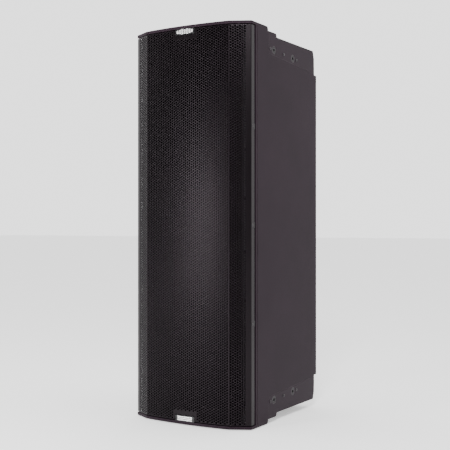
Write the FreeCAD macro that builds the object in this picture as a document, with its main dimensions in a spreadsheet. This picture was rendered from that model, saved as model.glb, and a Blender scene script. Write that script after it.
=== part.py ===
import FreeCAD, Part

"""Powered column loudspeaker: two ten-inch woofers either side of a horn, behind one bent steel grille.

Millimetres. X is to the right seen from the front, the front faces -Y, and Z is up from the floor. The
origin is on the floor, midway along the width and the depth. Every size that can be set by itself is a cell
of the sheet; sizes that follow from them are in the variable set, and each feature is bound to one of them.
"""

import math
import os

import Sketcher

DIMENSIONS = {
    # the cabinet as a whole
    "width": 343,
    "height": 990,
    "depth": 397,
    "facet_width": 49,  # the two outer facets of the front, seen from above
    "facet_depth": 26,
    "bow": 9,  # how far the middle of the front bulges
    "corner_round": 4,
    "foot_proud": 2,
    "wall": 6.5,
    "cap_length": 83,  # full-height front part, behind the side corner
    "cap_round": 7,
    "plateau_drop": 10,
    "plateau_length": 48,
    "deck_drop": 19,
    "deck_bevel": 20,
    "back_margin": 8,  # shell left around the back panel
    "back_ledge": 8,
    "hump_depth": 16,
    "hump_drop": 84,
    "hump_round": 3,
    # front recess, baffle and grille
    "side_set": 22.5,  # the side walls start this far behind the side corner
    "groove_set": 4.5,
    "groove_width": 4,
    "groove_deep": 1.5,
    "baffle_set": 2,
    "baffle_thick": 12,
    "ledge": 10,
    "grille_inset": 1,
    "grille_thick": 1.5,
    "grille_end_gap": 2.7,
    "flange_length": 17,
    "foam_thick": 4,
    "foam_gap": 0.5,
    "post_size": 13,
    "post_pitch": 240,
    "badge_width": 56,
    "badge_height": 15,
    "badge_thick": 2.5,
    "mark_thick": 0.8,
    # end saddles, rigging points and blocks
    "saddle_thick": 3,
    "saddle_set": 88,
    "saddle_drop": 66,
    "saddle_slant": 13,
    "saddle_gap": 0.4,
    "rig_centre": 166.5,
    "rig_pitch": 104,
    "rig_drop": 56,
    "rig_bore": 4.25,
    "rig_flange": 9.8,
    "rig_barrel": 6.8,
    "rig_length": 16,
    "screw_pitch": 71.5,
    "block_width": 120,
    "block_length": 170,
    "pole_bore": 17.75,
    "pole_wall": 3.25,
    "pole_depth": 80,
    "foot_radius": 12,
    "foot_pocket": 3,
    # woofers
    "woofer_offset": 335,
    "frame_radius": 130.5,
    "basket_depth": 68,
    "coil_radius": 32.2,
    "magnet_radius": 72,
    # horn, compression driver and ports
    "horn_width": 300,
    "horn_height": 384,
    "horn_depth": 140,
    "throat_radius": 18,
    "driver_radius": 68,
    "port_radius": 20,
    "port_length": 110,
    "port_x": 119,
    "port_rise": 105,
    # rear: amplifier and handles
    "panel_width": 236,
    "panel_height": 420,
    "panel_set": 24,
    "panel_thick": 4,
    "fin_count": 20,
    "fin_length": 178,
    "fin_proud": 16,
    "tray_depth": 62,
    "handle_width": 170,
    "handle_height": 96,
    "handle_depth": 42,
    "handle_offset": 306,
    # fits
    "fit": 0.15,  # screws and spigots in their holes
    "slip": 0.5,  # pieces dropped into an opening
}

PARTS = "parts"
doc = FreeCAD.newDocument("ColumnSpeaker")
sheet = doc.addObject("Spreadsheet::Sheet", "Dims")
derived = doc.addObject("App::VarSet", "Derived")
nodes = []


class Size:
    """A length or number with its value now and the expression that keeps it tied to the sheet."""

    def __init__(self, value, text):
        self.value = float(value)
        self.text = text

    def join(self, other, sign, value, swap=False):
        a, b = (of(other), self) if swap else (self, of(other))
        return Size(value(a.value, b.value), f"({a.text} {sign} {b.text})")

    def __add__(self, other):
        return self.join(other, "+", lambda a, b: a + b)

    def __radd__(self, other):
        return self.join(other, "+", lambda a, b: a + b, swap=True)

    def __sub__(self, other):
        return self.join(other, "-", lambda a, b: a - b)

    def __rsub__(self, other):
        return self.join(other, "-", lambda a, b: a - b, swap=True)

    def __mul__(self, other):
        return self.join(other, "*", lambda a, b: a * b)

    def __rmul__(self, other):
        return self.join(other, "*", lambda a, b: a * b, swap=True)

    def __truediv__(self, other):
        return self.join(other, "/", lambda a, b: a / b)

    def __rtruediv__(self, other):
        return self.join(other, "/", lambda a, b: a / b, swap=True)

    def __neg__(self):
        return self * -1


def of(number):
    """The number as a Size."""
    return number if isinstance(number, Size) else Size(number, repr(round(float(number), 9)))


def root(size):
    return Size(math.sqrt(size.value), f"sqrt({size.text})")


def derive(name, size):
    """Keeps a worked-out size under a name of its own."""
    derived.addProperty("App::PropertyFloat", name)
    derived.setExpression(name, size.text)
    return Size(size.value, f"Derived.{name}")


class Sheet:
    """The sheet's cells as Sizes, one attribute each."""

    def __init__(self, dimensions):
        for row, (alias, number) in enumerate(dimensions.items(), start=1):
            sheet.set(f"A{row}", alias)
            sheet.set(f"B{row}", str(number))
            sheet.setAlias(f"B{row}", alias)
            setattr(self, alias, Size(number, f"Dims.{alias}"))


d = Sheet(DIMENSIONS)
doc.recompute()

# Levels and planes that several pieces share.
floor_z = d.foot_proud
top_z = d.height
mid_z = derive("mid_z", (floor_z + top_z) / 2)
half = derive("half", d.width / 2)
front_y = derive("front_y", d.depth / -2)
back_y = derive("back_y", d.depth / 2)
side_y = derive("side_y", front_y + d.facet_depth + d.bow)
seat_y = derive("seat_y", side_y + d.side_set)
baffle_y = derive("baffle_y", seat_y + d.baffle_set)
baffle_back = derive("baffle_back", baffle_y + d.baffle_thick)
ledge_back = derive("ledge_back", baffle_back + d.ledge)
cap_y = derive("cap_y", side_y + d.cap_length)
deck_y = derive("deck_y", cap_y + d.plateau_length)
rear_y = derive("rear_y", back_y - d.hump_depth)
inner_x = derive("inner_x", half - d.wall)
saddle_y = derive("saddle_y", side_y + d.saddle_set)
panel_y = derive("panel_y", back_y - d.panel_set)
bend_x = derive("bend_x", half - d.facet_width)
bow_radius = derive("bow_radius", (bend_x * bend_x + d.bow * d.bow) / (2 * d.bow))
facet_length = derive("facet_length", root(d.facet_width * d.facet_width + d.facet_depth * d.facet_depth))
facet_cos = derive("facet_cos", d.facet_width / facet_length)
facet_sin = derive("facet_sin", d.facet_depth / facet_length)
corner_cut = derive("corner_cut", root((1 - facet_sin) / (1 + facet_sin)))
bow_cos = derive("bow_cos", root(1 - bend_x * bend_x / (bow_radius * bow_radius)))
bow_tan = derive("bow_tan", bend_x / bow_radius / bow_cos)
bend_shift = derive("bend_shift", (1 / facet_cos - 1 / bow_cos) / (facet_sin / facet_cos - bow_tan))
cutout_radius = derive("cutout_radius", d.frame_radius - 15)
panel_half = derive("panel_half", d.panel_width / 2)
panel_low = derive("panel_low", mid_z - d.panel_height / 2)
panel_high = derive("panel_high", mid_z + d.panel_height / 2)


# ---------------------------------------------------------------- building blocks


def place(thing, x, y, z, turn=None):
    """Binds a thing's position, turned so that its own Z lies along the turn axis."""
    turns = {
        "x": FreeCAD.Rotation(FreeCAD.Vector(0, 1, 0), 90),
        "y": FreeCAD.Rotation(FreeCAD.Vector(1, 0, 0), -90),
        "-y": FreeCAD.Rotation(FreeCAD.Vector(1, 0, 0), 90),
    }
    thing.Placement = FreeCAD.Placement(FreeCAD.Vector(), turns.get(turn, FreeCAD.Rotation()))
    for axis, size in (("x", x), ("y", y), ("z", z)):
        thing.setExpression(f"Placement.Base.{axis}", of(size).text)
    return thing


def box(x0, x1, y0, y1, z0, z1):
    made = doc.addObject("Part::Box", "Box")
    for side, low, high in (("Length", x0, x1), ("Width", y0, y1), ("Height", z0, z1)):
        made.setExpression(side, (of(high) - low).text)
    return place(made, x0, y0, z0)


def rod(radius, x, y, z, length, axis="z"):
    made = doc.addObject("Part::Cylinder", "Rod")
    made.setExpression("Radius", of(radius).text)
    made.setExpression("Height", of(length).text)
    return place(made, x, y, z, axis)


def boolean(kind, things):
    made = doc.addObject(kind, kind.split("::")[1])
    made.Shapes = list(things)
    if hasattr(made, "Refine"):
        made.Refine = True
    return made


def fuse(*things):
    return boolean("Part::MultiFuse", things)


def common(*things):
    return boolean("Part::MultiCommon", things)


def group(*things):
    """Separate solids kept together as one object."""
    made = doc.addObject("Part::Compound", "Group")
    made.Links = list(things)
    return made


def cut(base, *tools):
    made = doc.addObject("Part::Cut", "Cut")
    made.Base = base
    made.Tool = tools[0] if len(tools) == 1 else fuse(*tools)
    made.Refine = True
    return made


def plane_of(body, name):
    return next(f for f in body.Origin.OriginFeatures if f.Role == f"{name}_Plane")


def bound(sketch, kind, value, *refs):
    index = sketch.addConstraint(Sketcher.Constraint(kind, *refs, of(value).value))
    sketch.setExpression(f"Constraints[{index}]", of(value).text)


def arc_between(start, end, radius):
    """The short arc from start to end; a positive radius turns left, a negative one right."""
    a, b = (start, end) if radius > 0 else (end, start)
    chord = b - a
    rise = math.sqrt(max(radius * radius - (chord.Length / 2) ** 2, 0))
    centre = (a + b) / 2 + FreeCAD.Vector(-chord.y, chord.x, 0).normalize() * rise
    angles = [math.atan2(p.y - centre.y, p.x - centre.x) for p in (a, b)]
    if angles[1] < angles[0]:
        angles[1] += 2 * math.pi
    circle = Part.Circle(centre, FreeCAD.Vector(0, 0, 1), abs(radius))
    return Part.ArcOfCircle(circle, *angles)


def draw_loop(sketch, corners):
    """Draws a closed outline. A corner is (a, b), or (a, b, radius) where an arc starts there."""
    spots = [FreeCAD.Vector(of(c[0]).value, of(c[1]).value, 0) for c in corners]
    ends = []
    for i, corner in enumerate(corners):
        start, end = spots[i], spots[(i + 1) % len(spots)]
        if len(corner) == 2:
            ends.append((sketch.addGeometry(Part.LineSegment(start, end), False), 1, 2))
            continue
        curve = sketch.addGeometry(arc_between(start, end, of(corner[2]).value), False)
        ends.append((curve, 1, 2) if of(corner[2]).value > 0 else (curve, 2, 1))
    for i, (curve, _, last) in enumerate(ends):
        following, first, _ = ends[(i + 1) % len(ends)]
        sketch.addConstraint(Sketcher.Constraint("Coincident", curve, last, following, first))
    for (curve, first, _), corner in zip(ends, corners):
        bound(sketch, "DistanceX", corner[0], -1, 1, curve, first)
        bound(sketch, "DistanceY", corner[1], -1, 1, curve, first)
        if len(corner) == 3:
            size = of(corner[2])
            bound(sketch, "Radius", size if size.value > 0 else -size, curve)


def draw_circle(sketch, a, b, radius):
    spot = FreeCAD.Vector(of(a).value, of(b).value, 0)
    circle = Part.Circle(spot, FreeCAD.Vector(0, 0, 1), of(radius).value)
    curve = sketch.addGeometry(circle, False)
    bound(sketch, "DistanceX", a, -1, 1, curve, 3)
    bound(sketch, "DistanceY", b, -1, 1, curve, 3)
    bound(sketch, "Radius", radius, curve)


def sketch_in(body, plane, level, loops):
    """A sketch on one of the body's planes, moved along the plane's normal to the level."""
    made = body.newObject("Sketcher::SketchObject", "Outline")
    made.AttachmentSupport = [(plane_of(body, plane), "")]
    made.MapMode = "FlatFace"
    made.setExpression("AttachmentOffset.Base.z", of(level).text)
    for loop in loops:
        if loop[0] == "circle":
            draw_circle(made, *loop[1:])
        else:
            draw_loop(made, loop)
    return made


def prism(plane, low, high, *loops):
    """A padded outline between two levels. XZ outlines run along Y, whose plane faces the other way."""
    body = doc.addObject("PartDesign::Body", "Prism")
    level = -of(high) if plane == "XZ" else low
    outline = sketch_in(body, plane, level, loops)
    pad = body.newObject("PartDesign::Pad", "Pad")
    pad.Profile = outline
    pad.setExpression("Length", (of(high) - low).text)
    return body


def turned(corners, x, y, z, axis="y"):
    """A turned piece: an outline of (radius, height) corners spun about its own Z, laid along the axis."""
    body = doc.addObject("PartDesign::Body", "Turned")
    outline = sketch_in(body, "XZ", 0, [corners])
    spin = body.newObject("PartDesign::Revolution", "Revolution")
    spin.Profile = outline
    spin.ReferenceAxis = (outline, ["V_Axis"])
    spin.Angle = 360
    return place(body, x, y, z, axis)


def rounded(base, radius, pick):
    """The base with the picked edges rounded, in the base's own place."""
    doc.recompute()
    body = doc.addObject("PartDesign::Body", "Rounded")
    body.BaseFeature = base
    body.Placement = base.Placement
    for path, expression in base.ExpressionEngine:
        if "Placement" in path:
            body.setExpression(path, expression)
    doc.recompute()
    feature = body.Group[0]
    names = [f"Edge{i}" for i, edge in enumerate(feature.Shape.Edges, start=1) if pick(edge)]
    fillet = body.newObject("PartDesign::Fillet", "Fillet")
    fillet.Base = (feature, names)
    fillet.setExpression("Radius", of(radius).text)
    return body


def along(edge, axis):
    """Whether a straight edge runs along an axis."""
    if edge.Curve.TypeId != "Part::GeomLine":
        return False
    run = edge.Vertexes[1].Point - edge.Vertexes[0].Point
    return abs(getattr(run, axis)) > 0.999 * run.Length


def screw(x, y, z, head, head_height, shank, length, axis="y"):
    """A screw seen from its head: the head stands out against the axis and the shank runs along it."""
    drop = {"x": (head_height, 0, 0), "y": (0, head_height, 0), "z": (0, 0, head_height)}[axis.strip("-")]
    sign = -1 if axis.startswith("-") else 1
    at = [of(c) for c in (x, y, z)]
    if sign > 0:
        cap = rod(head, *[c - s for c, s in zip(at, drop)], head_height, axis)
        pin = rod(shank, *at, length, axis)
    else:
        run = {"-x": (length, 0, 0), "-y": (0, length, 0), "-z": (0, 0, length)}[axis]
        cap = rod(head, *at, head_height, axis[1])
        pin = rod(shank, *[c - s for c, s in zip(at, run)], length, axis[1])
    return fuse(cap, pin)


def node(name, thing):
    """Names a finished piece, which is then written to a file of that name."""
    thing.Label = name
    nodes.append(thing)
    return thing


# ---------------------------------------------------------------- cabinet


def front_line(inset, side_end):
    """Corners of the front seen from above, from the left side to the right, moved in by an inset."""
    x1 = half - inset
    dx = bend_x - inset * bend_shift
    dy = side_y - d.facet_depth + inset / facet_cos - inset * bend_shift * facet_sin / facet_cos
    start_y = side_y + inset * ((1 - facet_sin) / facet_cos)
    left = [(-x1, side_end), (-x1, start_y), (-dx, dy, bow_radius - inset)]
    return left + [(dx, dy), (x1, start_y), (x1, side_end)]


def plan_outline():
    """The cabinet seen from above, with its side corners and rear corners rounded."""
    reach = d.corner_round * corner_cut
    bend_y = side_y - d.facet_depth
    near = (half - reach * facet_cos, side_y - reach * facet_sin)
    return [
        (-bend_x, bend_y, bow_radius),
        (bend_x, bend_y),
        (near[0], near[1], d.corner_round),
        (half, side_y + reach),
        (half, back_y - d.corner_round, d.corner_round),
        (half - d.corner_round, back_y),
        (d.corner_round - half, back_y, d.corner_round),
        (-half, back_y - d.corner_round),
        (-half, side_y + reach, d.corner_round),
        (-near[0], near[1]),
    ]


def end_steps(rise):
    """Corners of one end seen from the side, from the cap to the back; rise gives a height at that end."""
    soft = (d.deck_drop - d.plateau_drop) / 3
    return [
        (cap_y - d.cap_round, rise(0), d.cap_round),
        (cap_y, rise(d.cap_round)),
        (cap_y, rise(d.plateau_drop)),
        (deck_y - soft * 3, rise(d.plateau_drop), soft * 2),
        (deck_y - soft, rise(d.plateau_drop + soft * 2), -soft),
        (deck_y, rise(d.deck_drop)),
        (rear_y - 8, rise(d.deck_drop)),
        (rear_y - 1, rise(d.deck_drop + d.deck_bevel)),
        (rear_y, rise(d.hump_drop)),
        (back_y - d.hump_round, rise(d.hump_drop), d.hump_round),
        (back_y, rise(d.hump_drop + d.hump_round)),
    ]


def reverse_corners(corners):
    """Mirrored corners walked the other way round: each arc moves to the corner it now starts from."""
    turned_round = []
    for i in range(len(corners) - 1, -1, -1):
        point = corners[i][:2]
        into = corners[i - 1] if i > 0 else ()
        turned_round.append((*point, into[2]) if len(into) == 3 else point)
    return turned_round


def walked_back(corners):
    """An open run of corners walked from its end to its start, with every arc turning the other way."""
    back = []
    for i in range(len(corners) - 1, -1, -1):
        into = corners[i - 1] if i > 0 else ()
        back.append((*corners[i][:2], -into[2]) if len(into) == 3 else corners[i][:2])
    return back


def profile_outline():
    """The cabinet seen from the right, stepped down behind the cap at both ends."""
    bottom = end_steps(lambda rise: floor_z + rise)
    top = reverse_corners(end_steps(lambda rise: top_z - rise))
    return [(front_y - 1, floor_z), *bottom, *top, (front_y - 1, top_z)]


def outer_body():
    """The outside of the closed cabinet: its plan seen from above crossed with its side profile."""
    plan = prism("XY", floor_z, top_z, plan_outline())
    profile = prism("YZ", -half - 1, half + 1, profile_outline())
    return common(plan, profile)


def saddle_zone(gap, rise):
    """What one end saddle covers, seen from the side and run across the width."""
    corner = 12
    front = saddle_y - gap
    low = d.saddle_drop + gap
    outline = [
        (front, rise(-1)),
        (front, rise(low - corner), corner),
        (front + corner, rise(low)),
        (back_y - d.hump_depth + 1, rise(low + d.saddle_slant)),
        (back_y - d.hump_depth + 1, rise(-1)),
    ]
    if rise(0).value < mid_z.value:
        outline = reverse_corners(outline)
    return prism("YZ", -half - 1, half + 1, outline)


def saddle_core(rise):
    """The part of the cabinet inside one saddle."""
    under = d.deck_drop + d.saddle_thick
    flat = d.plateau_drop + d.saddle_thick
    rear = rear_y - d.saddle_thick
    outline = [
        (cap_y - 1, rise(flat)),
        (cap_y - 1, rise(d.hump_drop + 10)),
        (rear, rise(d.hump_drop + 10)),
        (rear - 1, rise(d.deck_drop + d.deck_bevel)),
        (rear - 8, rise(under)),
        (deck_y - d.saddle_thick, rise(under)),
        (deck_y - d.saddle_thick * 2 - (d.deck_drop - d.plateau_drop), rise(flat)),
    ]
    if rise(0).value < mid_z.value:
        outline = reverse_corners(outline)
    return prism("YZ", d.saddle_thick - half, half - d.saddle_thick, outline)


def from_bottom(rise):
    return floor_z + rise


def from_top(rise):
    return top_z - rise


ENDS = {"bottom": from_bottom, "top": from_top}


def rig_spots(rise):
    """Where one saddle's rigging points and small screws lie, as (y, z), along the saddle's slant."""
    slope = d.saddle_slant / (rear_y - saddle_y)
    middle = side_y + d.rig_centre

    def at(offset):
        return middle + offset, rise(d.rig_drop + slope * (offset + 0))

    points = [at(d.rig_pitch * k) for k in (-0.5, 0.5)]
    screws = [at(d.screw_pitch * k) for k in (-1, 0, 1)]
    return points, screws


def block_screw_spots():
    x = d.block_width / 2 - 12
    return [(s * x, block_front + y) for s in (-1, 1) for y in (12, d.block_length - 12)]


block_front = derive("block_front", deck_y + 10)
pole_y = derive("pole_y", block_front + d.block_length * 0.27)


def handle_levels():
    return {"lower": mid_z - d.handle_offset, "upper": mid_z + d.handle_offset}


def baffle_screw_spots():
    x = inner_x - d.ledge / 2
    z_end = d.height / 2 - d.wall - d.ledge / 2 - d.foot_proud / 2
    spots = [(s * x, mid_z + z_end * k) for s in (-1, 1) for k in (-0.8, -0.3, 0.3, 0.8)]
    return spots + [(x * s, mid_z + z_end * e) for s in (-0.4, 0.4) for e in (-1, 1)]


def foot_spots():
    """Cap feet and block feet, as (x, y)."""
    cap = [(s * (half - 52), side_y + 36) for s in (-1, 1)]
    block = [(s * (d.block_width / 2 - 17), block_front + d.block_length - 36) for s in (-1, 1)]
    return cap, block


def handle_screw_spots(level):
    across, up = d.handle_width / 2 + 7, d.handle_height / 2 - 12
    return [(sx * across, level + sz * up) for sx in (-1, 1) for sz in (-1, 1)]


def panel_screw_spots():
    x = panel_half - 6
    spots = [(s * x, panel_low + 6 + (d.panel_height - 12) * k / 4) for s in (-1, 1) for k in range(5)]
    return spots + [(0, panel_low + 6), (0, panel_high - 6)]


def cabinet_shell(outer):
    """The moulded enclosure: one wall all round, open at front and back, with a ledge in each opening."""
    reach = half + 1
    low, high = floor_z + d.wall, top_z - d.wall
    open_front = box(-reach, reach, front_y - 1, seat_y, low, high)
    baffle_seat = box(-inner_x, inner_x, front_y - 1, baffle_back, low, high)
    through = inner_x - d.ledge
    ledge_hole = box(-through, through, front_y - 1, ledge_back + 1, low + d.ledge, high - d.ledge)
    deep_low = d.deck_drop + d.wall
    cavity = box(-inner_x, inner_x, ledge_back, rear_y - 8 - d.wall, floor_z + deep_low, top_z - deep_low)
    cap_room = box(-inner_x, inner_x, ledge_back, cap_y - d.wall - d.cap_round, low, high)
    hump_low = d.hump_drop + d.wall
    hump_room = box(-inner_x, inner_x, ledge_back, back_y - d.wall, floor_z + hump_low, top_z - hump_low)
    groove_y = seat_y + d.groove_set
    grooves = [
        box(-reach, d.groove_deep - half, groove_y, groove_y + d.groove_width, low, high),
        box(half - d.groove_deep, reach, groove_y, groove_y + d.groove_width, low, high),
    ]
    body = cut(outer, open_front, baffle_seat, ledge_hole, cavity, cap_room, hump_room, *grooves)
    for rise in ENDS.values():
        ring = cut(saddle_zone(d.saddle_gap, rise), saddle_core(rise))
        body = cut(body, ring)
    x, low, high = back_faces(0)
    ledge_y = back_y - d.wall - d.back_ledge
    ledge = box(-inner_x - 1, inner_x + 1, ledge_y, back_y - d.wall, low - 4, high + 4)
    body = fuse(body, ledge)
    reach = x - d.back_ledge
    through = box(-reach, reach, ledge_y - 1, back_y + 1, low + d.back_ledge, high - d.back_ledge)
    return cut(body, through, box(-x, x, back_y - d.wall, back_y + 1, low, high))


def back_faces(gap):
    """The back panel's half width and its lowest and highest level, smaller by a gap all round."""
    rise = d.hump_drop + d.back_margin + gap
    return inner_x - d.back_margin - gap, floor_z + rise, top_z - rise


def back_panel():
    """The board that closes the back: it holds the amplifier in a deep collar, and both handles."""
    x, low, high = back_faces(d.slip / 2)
    collar = 8
    frame = box(-panel_half - collar, panel_half + collar, panel_y - d.panel_thick - 12, back_y - 1,
                panel_low - collar, panel_high + collar)
    body = fuse(box(-x, x, back_y - d.wall, back_y, low, high), frame)
    slip = d.slip
    panel_room = box(-panel_half - slip, panel_half + slip, panel_y - d.panel_thick - 1.5, back_y + 1,
                     panel_low - slip, panel_high + slip)
    inner_room = box(12 - panel_half, panel_half - 12, rear_y - 60, back_y, panel_low + 12, panel_high - 12)
    openings = [panel_room, inner_room]
    for level in handle_levels().values():
        wide, tall = d.handle_width / 2 + slip, d.handle_height / 2 + slip
        openings.append(box(-wide, wide, rear_y - 60, back_y + 1, level - tall, level + tall))
        flange = box(-wide - 14, wide + 14, back_y - 3 - 0.2, back_y + 1, level - tall - 6, level + tall + 6)
        openings.append(flange)
        openings += [rod(1.8, sx, back_y - 9, sz, 9, "y") for sx, sz in handle_screw_spots(level)]
    openings += [rod(1.8, sx, panel_y - d.panel_thick - 10, sz, 10, "y") for sx, sz in panel_screw_spots()]
    for sx, sz in back_screw_spots():
        openings.append(rod(2, sx, back_y - d.wall - 1, sz, d.wall + 2, "y"))
        openings.append(rod(4.1, sx, back_y - 1.7, sz, 3, "y"))
    return cut(body, *openings)


def back_screw_spots():
    """Screws around the back panel's edge, over the middle of the shell's ledge."""
    x, low, high = back_faces(d.back_ledge / 2)
    rise = (high - low) / 4
    return [(s * x, low + rise * k) for s in (-1, 1) for k in range(5)] + [(0, low), (0, high)]


def shell_holes():
    """Everything that is drilled into the shell for feet, rigging, screws and the pole socket."""
    holes = []
    cap_feet, _ = foot_spots()
    holes += [rod(d.foot_radius + d.fit, x, y, floor_z - 1, d.foot_pocket + 1) for x, y in cap_feet]
    holes.append(rod(d.pole_bore + d.pole_wall + d.slip, 0, pole_y, floor_z, d.deck_drop + d.wall + 1))
    for rise in ENDS.values():
        points, screws = rig_spots(rise)
        for y, z in points:
            holes.append(rod(d.rig_barrel + d.fit, -half, y, z, d.width, "x"))
        for y, z in screws:
            holes.append(rod(1.6, -half, y, z, d.wall + 1, "x"))
            holes.append(rod(1.6, inner_x - 1, y, z, d.wall + 1, "x"))
        for x, y in block_screw_spots():
            holes.append(rod(2.6, x, y, rise(d.deck_drop + d.wall / 2) - d.wall, d.wall * 2))
    for x, z in baffle_screw_spots():
        holes.append(rod(1.8, x, baffle_back - 1, z, d.ledge + 0.5, "y"))
    for x, z in back_screw_spots():
        holes.append(rod(1.8, x, back_y - d.wall - d.back_ledge - 1, z, d.back_ledge + 2, "y"))
    return group(*holes)


def saddle(outer, rise):
    """An end saddle: a cast cover over the deck and down both sides, set flush into the shell."""
    skin = cut(common(outer, saddle_zone(0, rise)), saddle_core(rise))
    holes = []
    points, screws = rig_spots(rise)
    for y, z in points:
        holes.append(rod(d.rig_barrel + d.fit, -half - 1, y, z, d.width + 2, "x"))
        for x in (-half - 1, half - 2.2):
            holes.append(rod(d.rig_flange + d.fit, x, y, z, 3.2, "x"))
    for y, z in screws:
        holes.append(rod(1.75, -half - 1, y, z, d.width + 2, "x"))
    for x, y in block_screw_spots():
        holes.append(rod(2.6, x, y, rise(d.deck_drop) - d.wall * 2, d.wall * 4))
    if rise(0).value < mid_z.value:
        holes.append(rod(d.pole_bore + d.pole_wall + d.slip, 0, pole_y, floor_z, d.deck_drop * 3))
    return cut(skin, *holes)


def rigging_inserts():
    """Flanged steel inserts with the suspension threads, two on each side of each saddle."""
    made = []
    for rise in ENDS.values():
        for y, z in rig_spots(rise)[0]:
            for side in (-1, 1):
                face = side * (half - 0.3)
                flange = rod(d.rig_flange, face - (1.8 if side > 0 else 0), y, z, 1.8, "x")
                barrel = rod(d.rig_barrel, face - (d.rig_length if side > 0 else 0), y, z, d.rig_length, "x")
                bore = rod(d.rig_bore, face - d.rig_length - 1, y, z, d.rig_length * 2 + 2, "x")
                made.append(cut(fuse(flange, barrel), bore))
    return group(*made)


def saddle_screws():
    """Small button-head screws that hold the saddles to the shell's sides."""
    made = []
    for rise in ENDS.values():
        for y, z in rig_spots(rise)[1]:
            made.append(screw(-half, y, z, 3.4, 1.2, 1.5, d.wall, "x"))
            made.append(screw(half, y, z, 3.4, 1.2, 1.5, d.wall, "-x"))
    return made


def end_block(rise, with_socket):
    """The block in the middle of a deck, level with the cap: the base block carries the pole socket."""
    is_top = rise(0).value > mid_z.value
    low, high = (rise(d.deck_drop), rise(0)) if is_top else (rise(0), rise(d.deck_drop))
    wide = d.block_width / 2
    solid = box(-wide, wide, block_front, block_front + d.block_length, low, high)
    solid = rounded(solid, 8, lambda edge: along(edge, "z"))
    _, feet = foot_spots()
    tools = [rod(2.6, x, y, low - 1, d.deck_drop + 2) for x, y in block_screw_spots()]
    head_low = high - 6 if is_top else low - 1
    tools += [rod(5.2, x, y, head_low, 7) for x, y in block_screw_spots()]
    pocket = high - d.foot_pocket if is_top else low - 1
    tools += [rod(d.foot_radius + d.fit, x, y, pocket, d.foot_pocket + 1) for x, y in feet]
    if with_socket:
        tube = rod(d.pole_bore + d.pole_wall, 0, pole_y, low, d.pole_depth + 4)
        solid = fuse(solid, tube)
        tools.append(rod(d.pole_bore, 0, pole_y, low - 1, d.pole_depth + 1))
    else:
        tools.append(rod(d.rig_bore, 0, pole_y, high - 15, 16))
    return cut(solid, *tools)


def block_screws():
    """Socket-head screws through the end blocks into the deck, sunk below the blocks' faces."""
    made = []
    for x, y in block_screw_spots():
        made.append(screw(x, y, from_bottom(6), 5, 5, 2.4, d.deck_drop + d.wall - 8, "z"))
        made.append(screw(x, y, from_top(6), 5, 5, 2.4, d.deck_drop + d.wall - 8, "-z"))
    return made


def rubber_feet():
    """Round pads pressed into pockets under the cap and the base block."""
    cap, block = foot_spots()
    pads = [rod(d.foot_radius, x, y, 0, d.foot_proud + d.foot_pocket) for x, y in cap + block]
    return group(*[rounded(pad, 0.8, lambda e: abs(e.BoundBox.ZMax) < 0.01 and e.Closed) for pad in pads])


def front_baffle():
    """The board that carries the drivers, with posts at its edges that the grille is screwed to."""
    x = inner_x - d.slip / 2
    low, high = floor_z + d.wall + d.slip / 2, top_z - d.wall - d.slip / 2
    board = box(-x, x, baffle_y, baffle_back, low, high)
    posts = []
    reach = half - d.grille_inset - d.grille_thick - 0.2
    for side in (-1, 1):
        for k in (-1, 0, 1):
            z = mid_z + d.post_pitch * k
            inner = side * (reach - d.post_size)
            outer = side * reach
            ends = (inner, outer) if side > 0 else (outer, inner)
            posts.append(box(*ends, side_y + 2, seat_y - 0.5, z - d.post_size / 2, z + d.post_size / 2))
            foot = (side * (x - d.post_size), side * x)
            foot = foot if side > 0 else foot[::-1]
            posts.append(box(*foot, side_y + 2, baffle_y + 1, z - d.post_size / 2, z + d.post_size / 2))
    tools = []
    for level in woofer_levels().values():
        tools.append(rod(cutout_radius, 0, baffle_y - 1, level, d.baffle_thick + 2, "y"))
    wide, tall = d.horn_width / 2 - 14, d.horn_height / 2 - 14
    tools.append(box(-wide, wide, baffle_y - 1, baffle_back + 1, mid_z - tall, mid_z + tall))
    tube = d.port_radius + 2.5 + d.fit
    tools += [rod(tube, x, baffle_y - 1, z, d.baffle_thick + 2, "y") for x, z in port_spots()]
    tools += [rod(2.2, x, baffle_y - 1, z, d.baffle_thick + 2, "y") for x, z in baffle_screw_spots()]
    tools += [rod(2.2, x, baffle_y - 1, z, d.baffle_thick + 2, "y") for x, z in woofer_screw_spots()]
    tools += [rod(1.8, x, baffle_y - 1, z, d.baffle_thick + 2, "y") for x, z in horn_screw_spots()]
    for k in (-1, 0, 1):
        tools.append(rod(1.6, -half, side_y + 6.5, mid_z + d.post_pitch * k, d.width, "x"))
    return cut(fuse(board, *posts), *tools)


def grille():
    """One steel sheet bent to the front's shape, with side flanges and a notch at each end for a badge."""
    end = side_y + d.flange_length
    outside = front_line(d.grille_inset, end)
    inside = front_line(d.grille_inset + d.grille_thick, end)
    low, high = grille_low, grille_high
    sheet_solid = prism("XY", low, high, [*outside, *walked_back(inside)])
    notch = d.badge_width / 2
    depth = d.badge_height - d.grille_end_gap
    tools = [
        box(-notch, notch, front_y - 1, side_y, high - depth, high + 1),
        box(-notch, notch, front_y - 1, side_y, low - 1, low + depth),
    ]
    for k in (-1, 0, 1):
        tools.append(rod(2, -half, side_y + 6.5, mid_z + d.post_pitch * k, d.width, "x"))
    return cut(sheet_solid, group(*tools))


def grille_screws():
    """Button-head screws through the grille's flanges into the baffle's posts."""
    face = half - d.grille_inset
    made = []
    for k in (-1, 0, 1):
        z = mid_z + d.post_pitch * k
        made.append(screw(-face, side_y + 6.5, z, 3.2, 0.9, 1.5, 10, "x"))
        made.append(screw(face, side_y + 6.5, z, 3.2, 0.9, 1.5, 10, "-x"))
    return group(*made)


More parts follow.
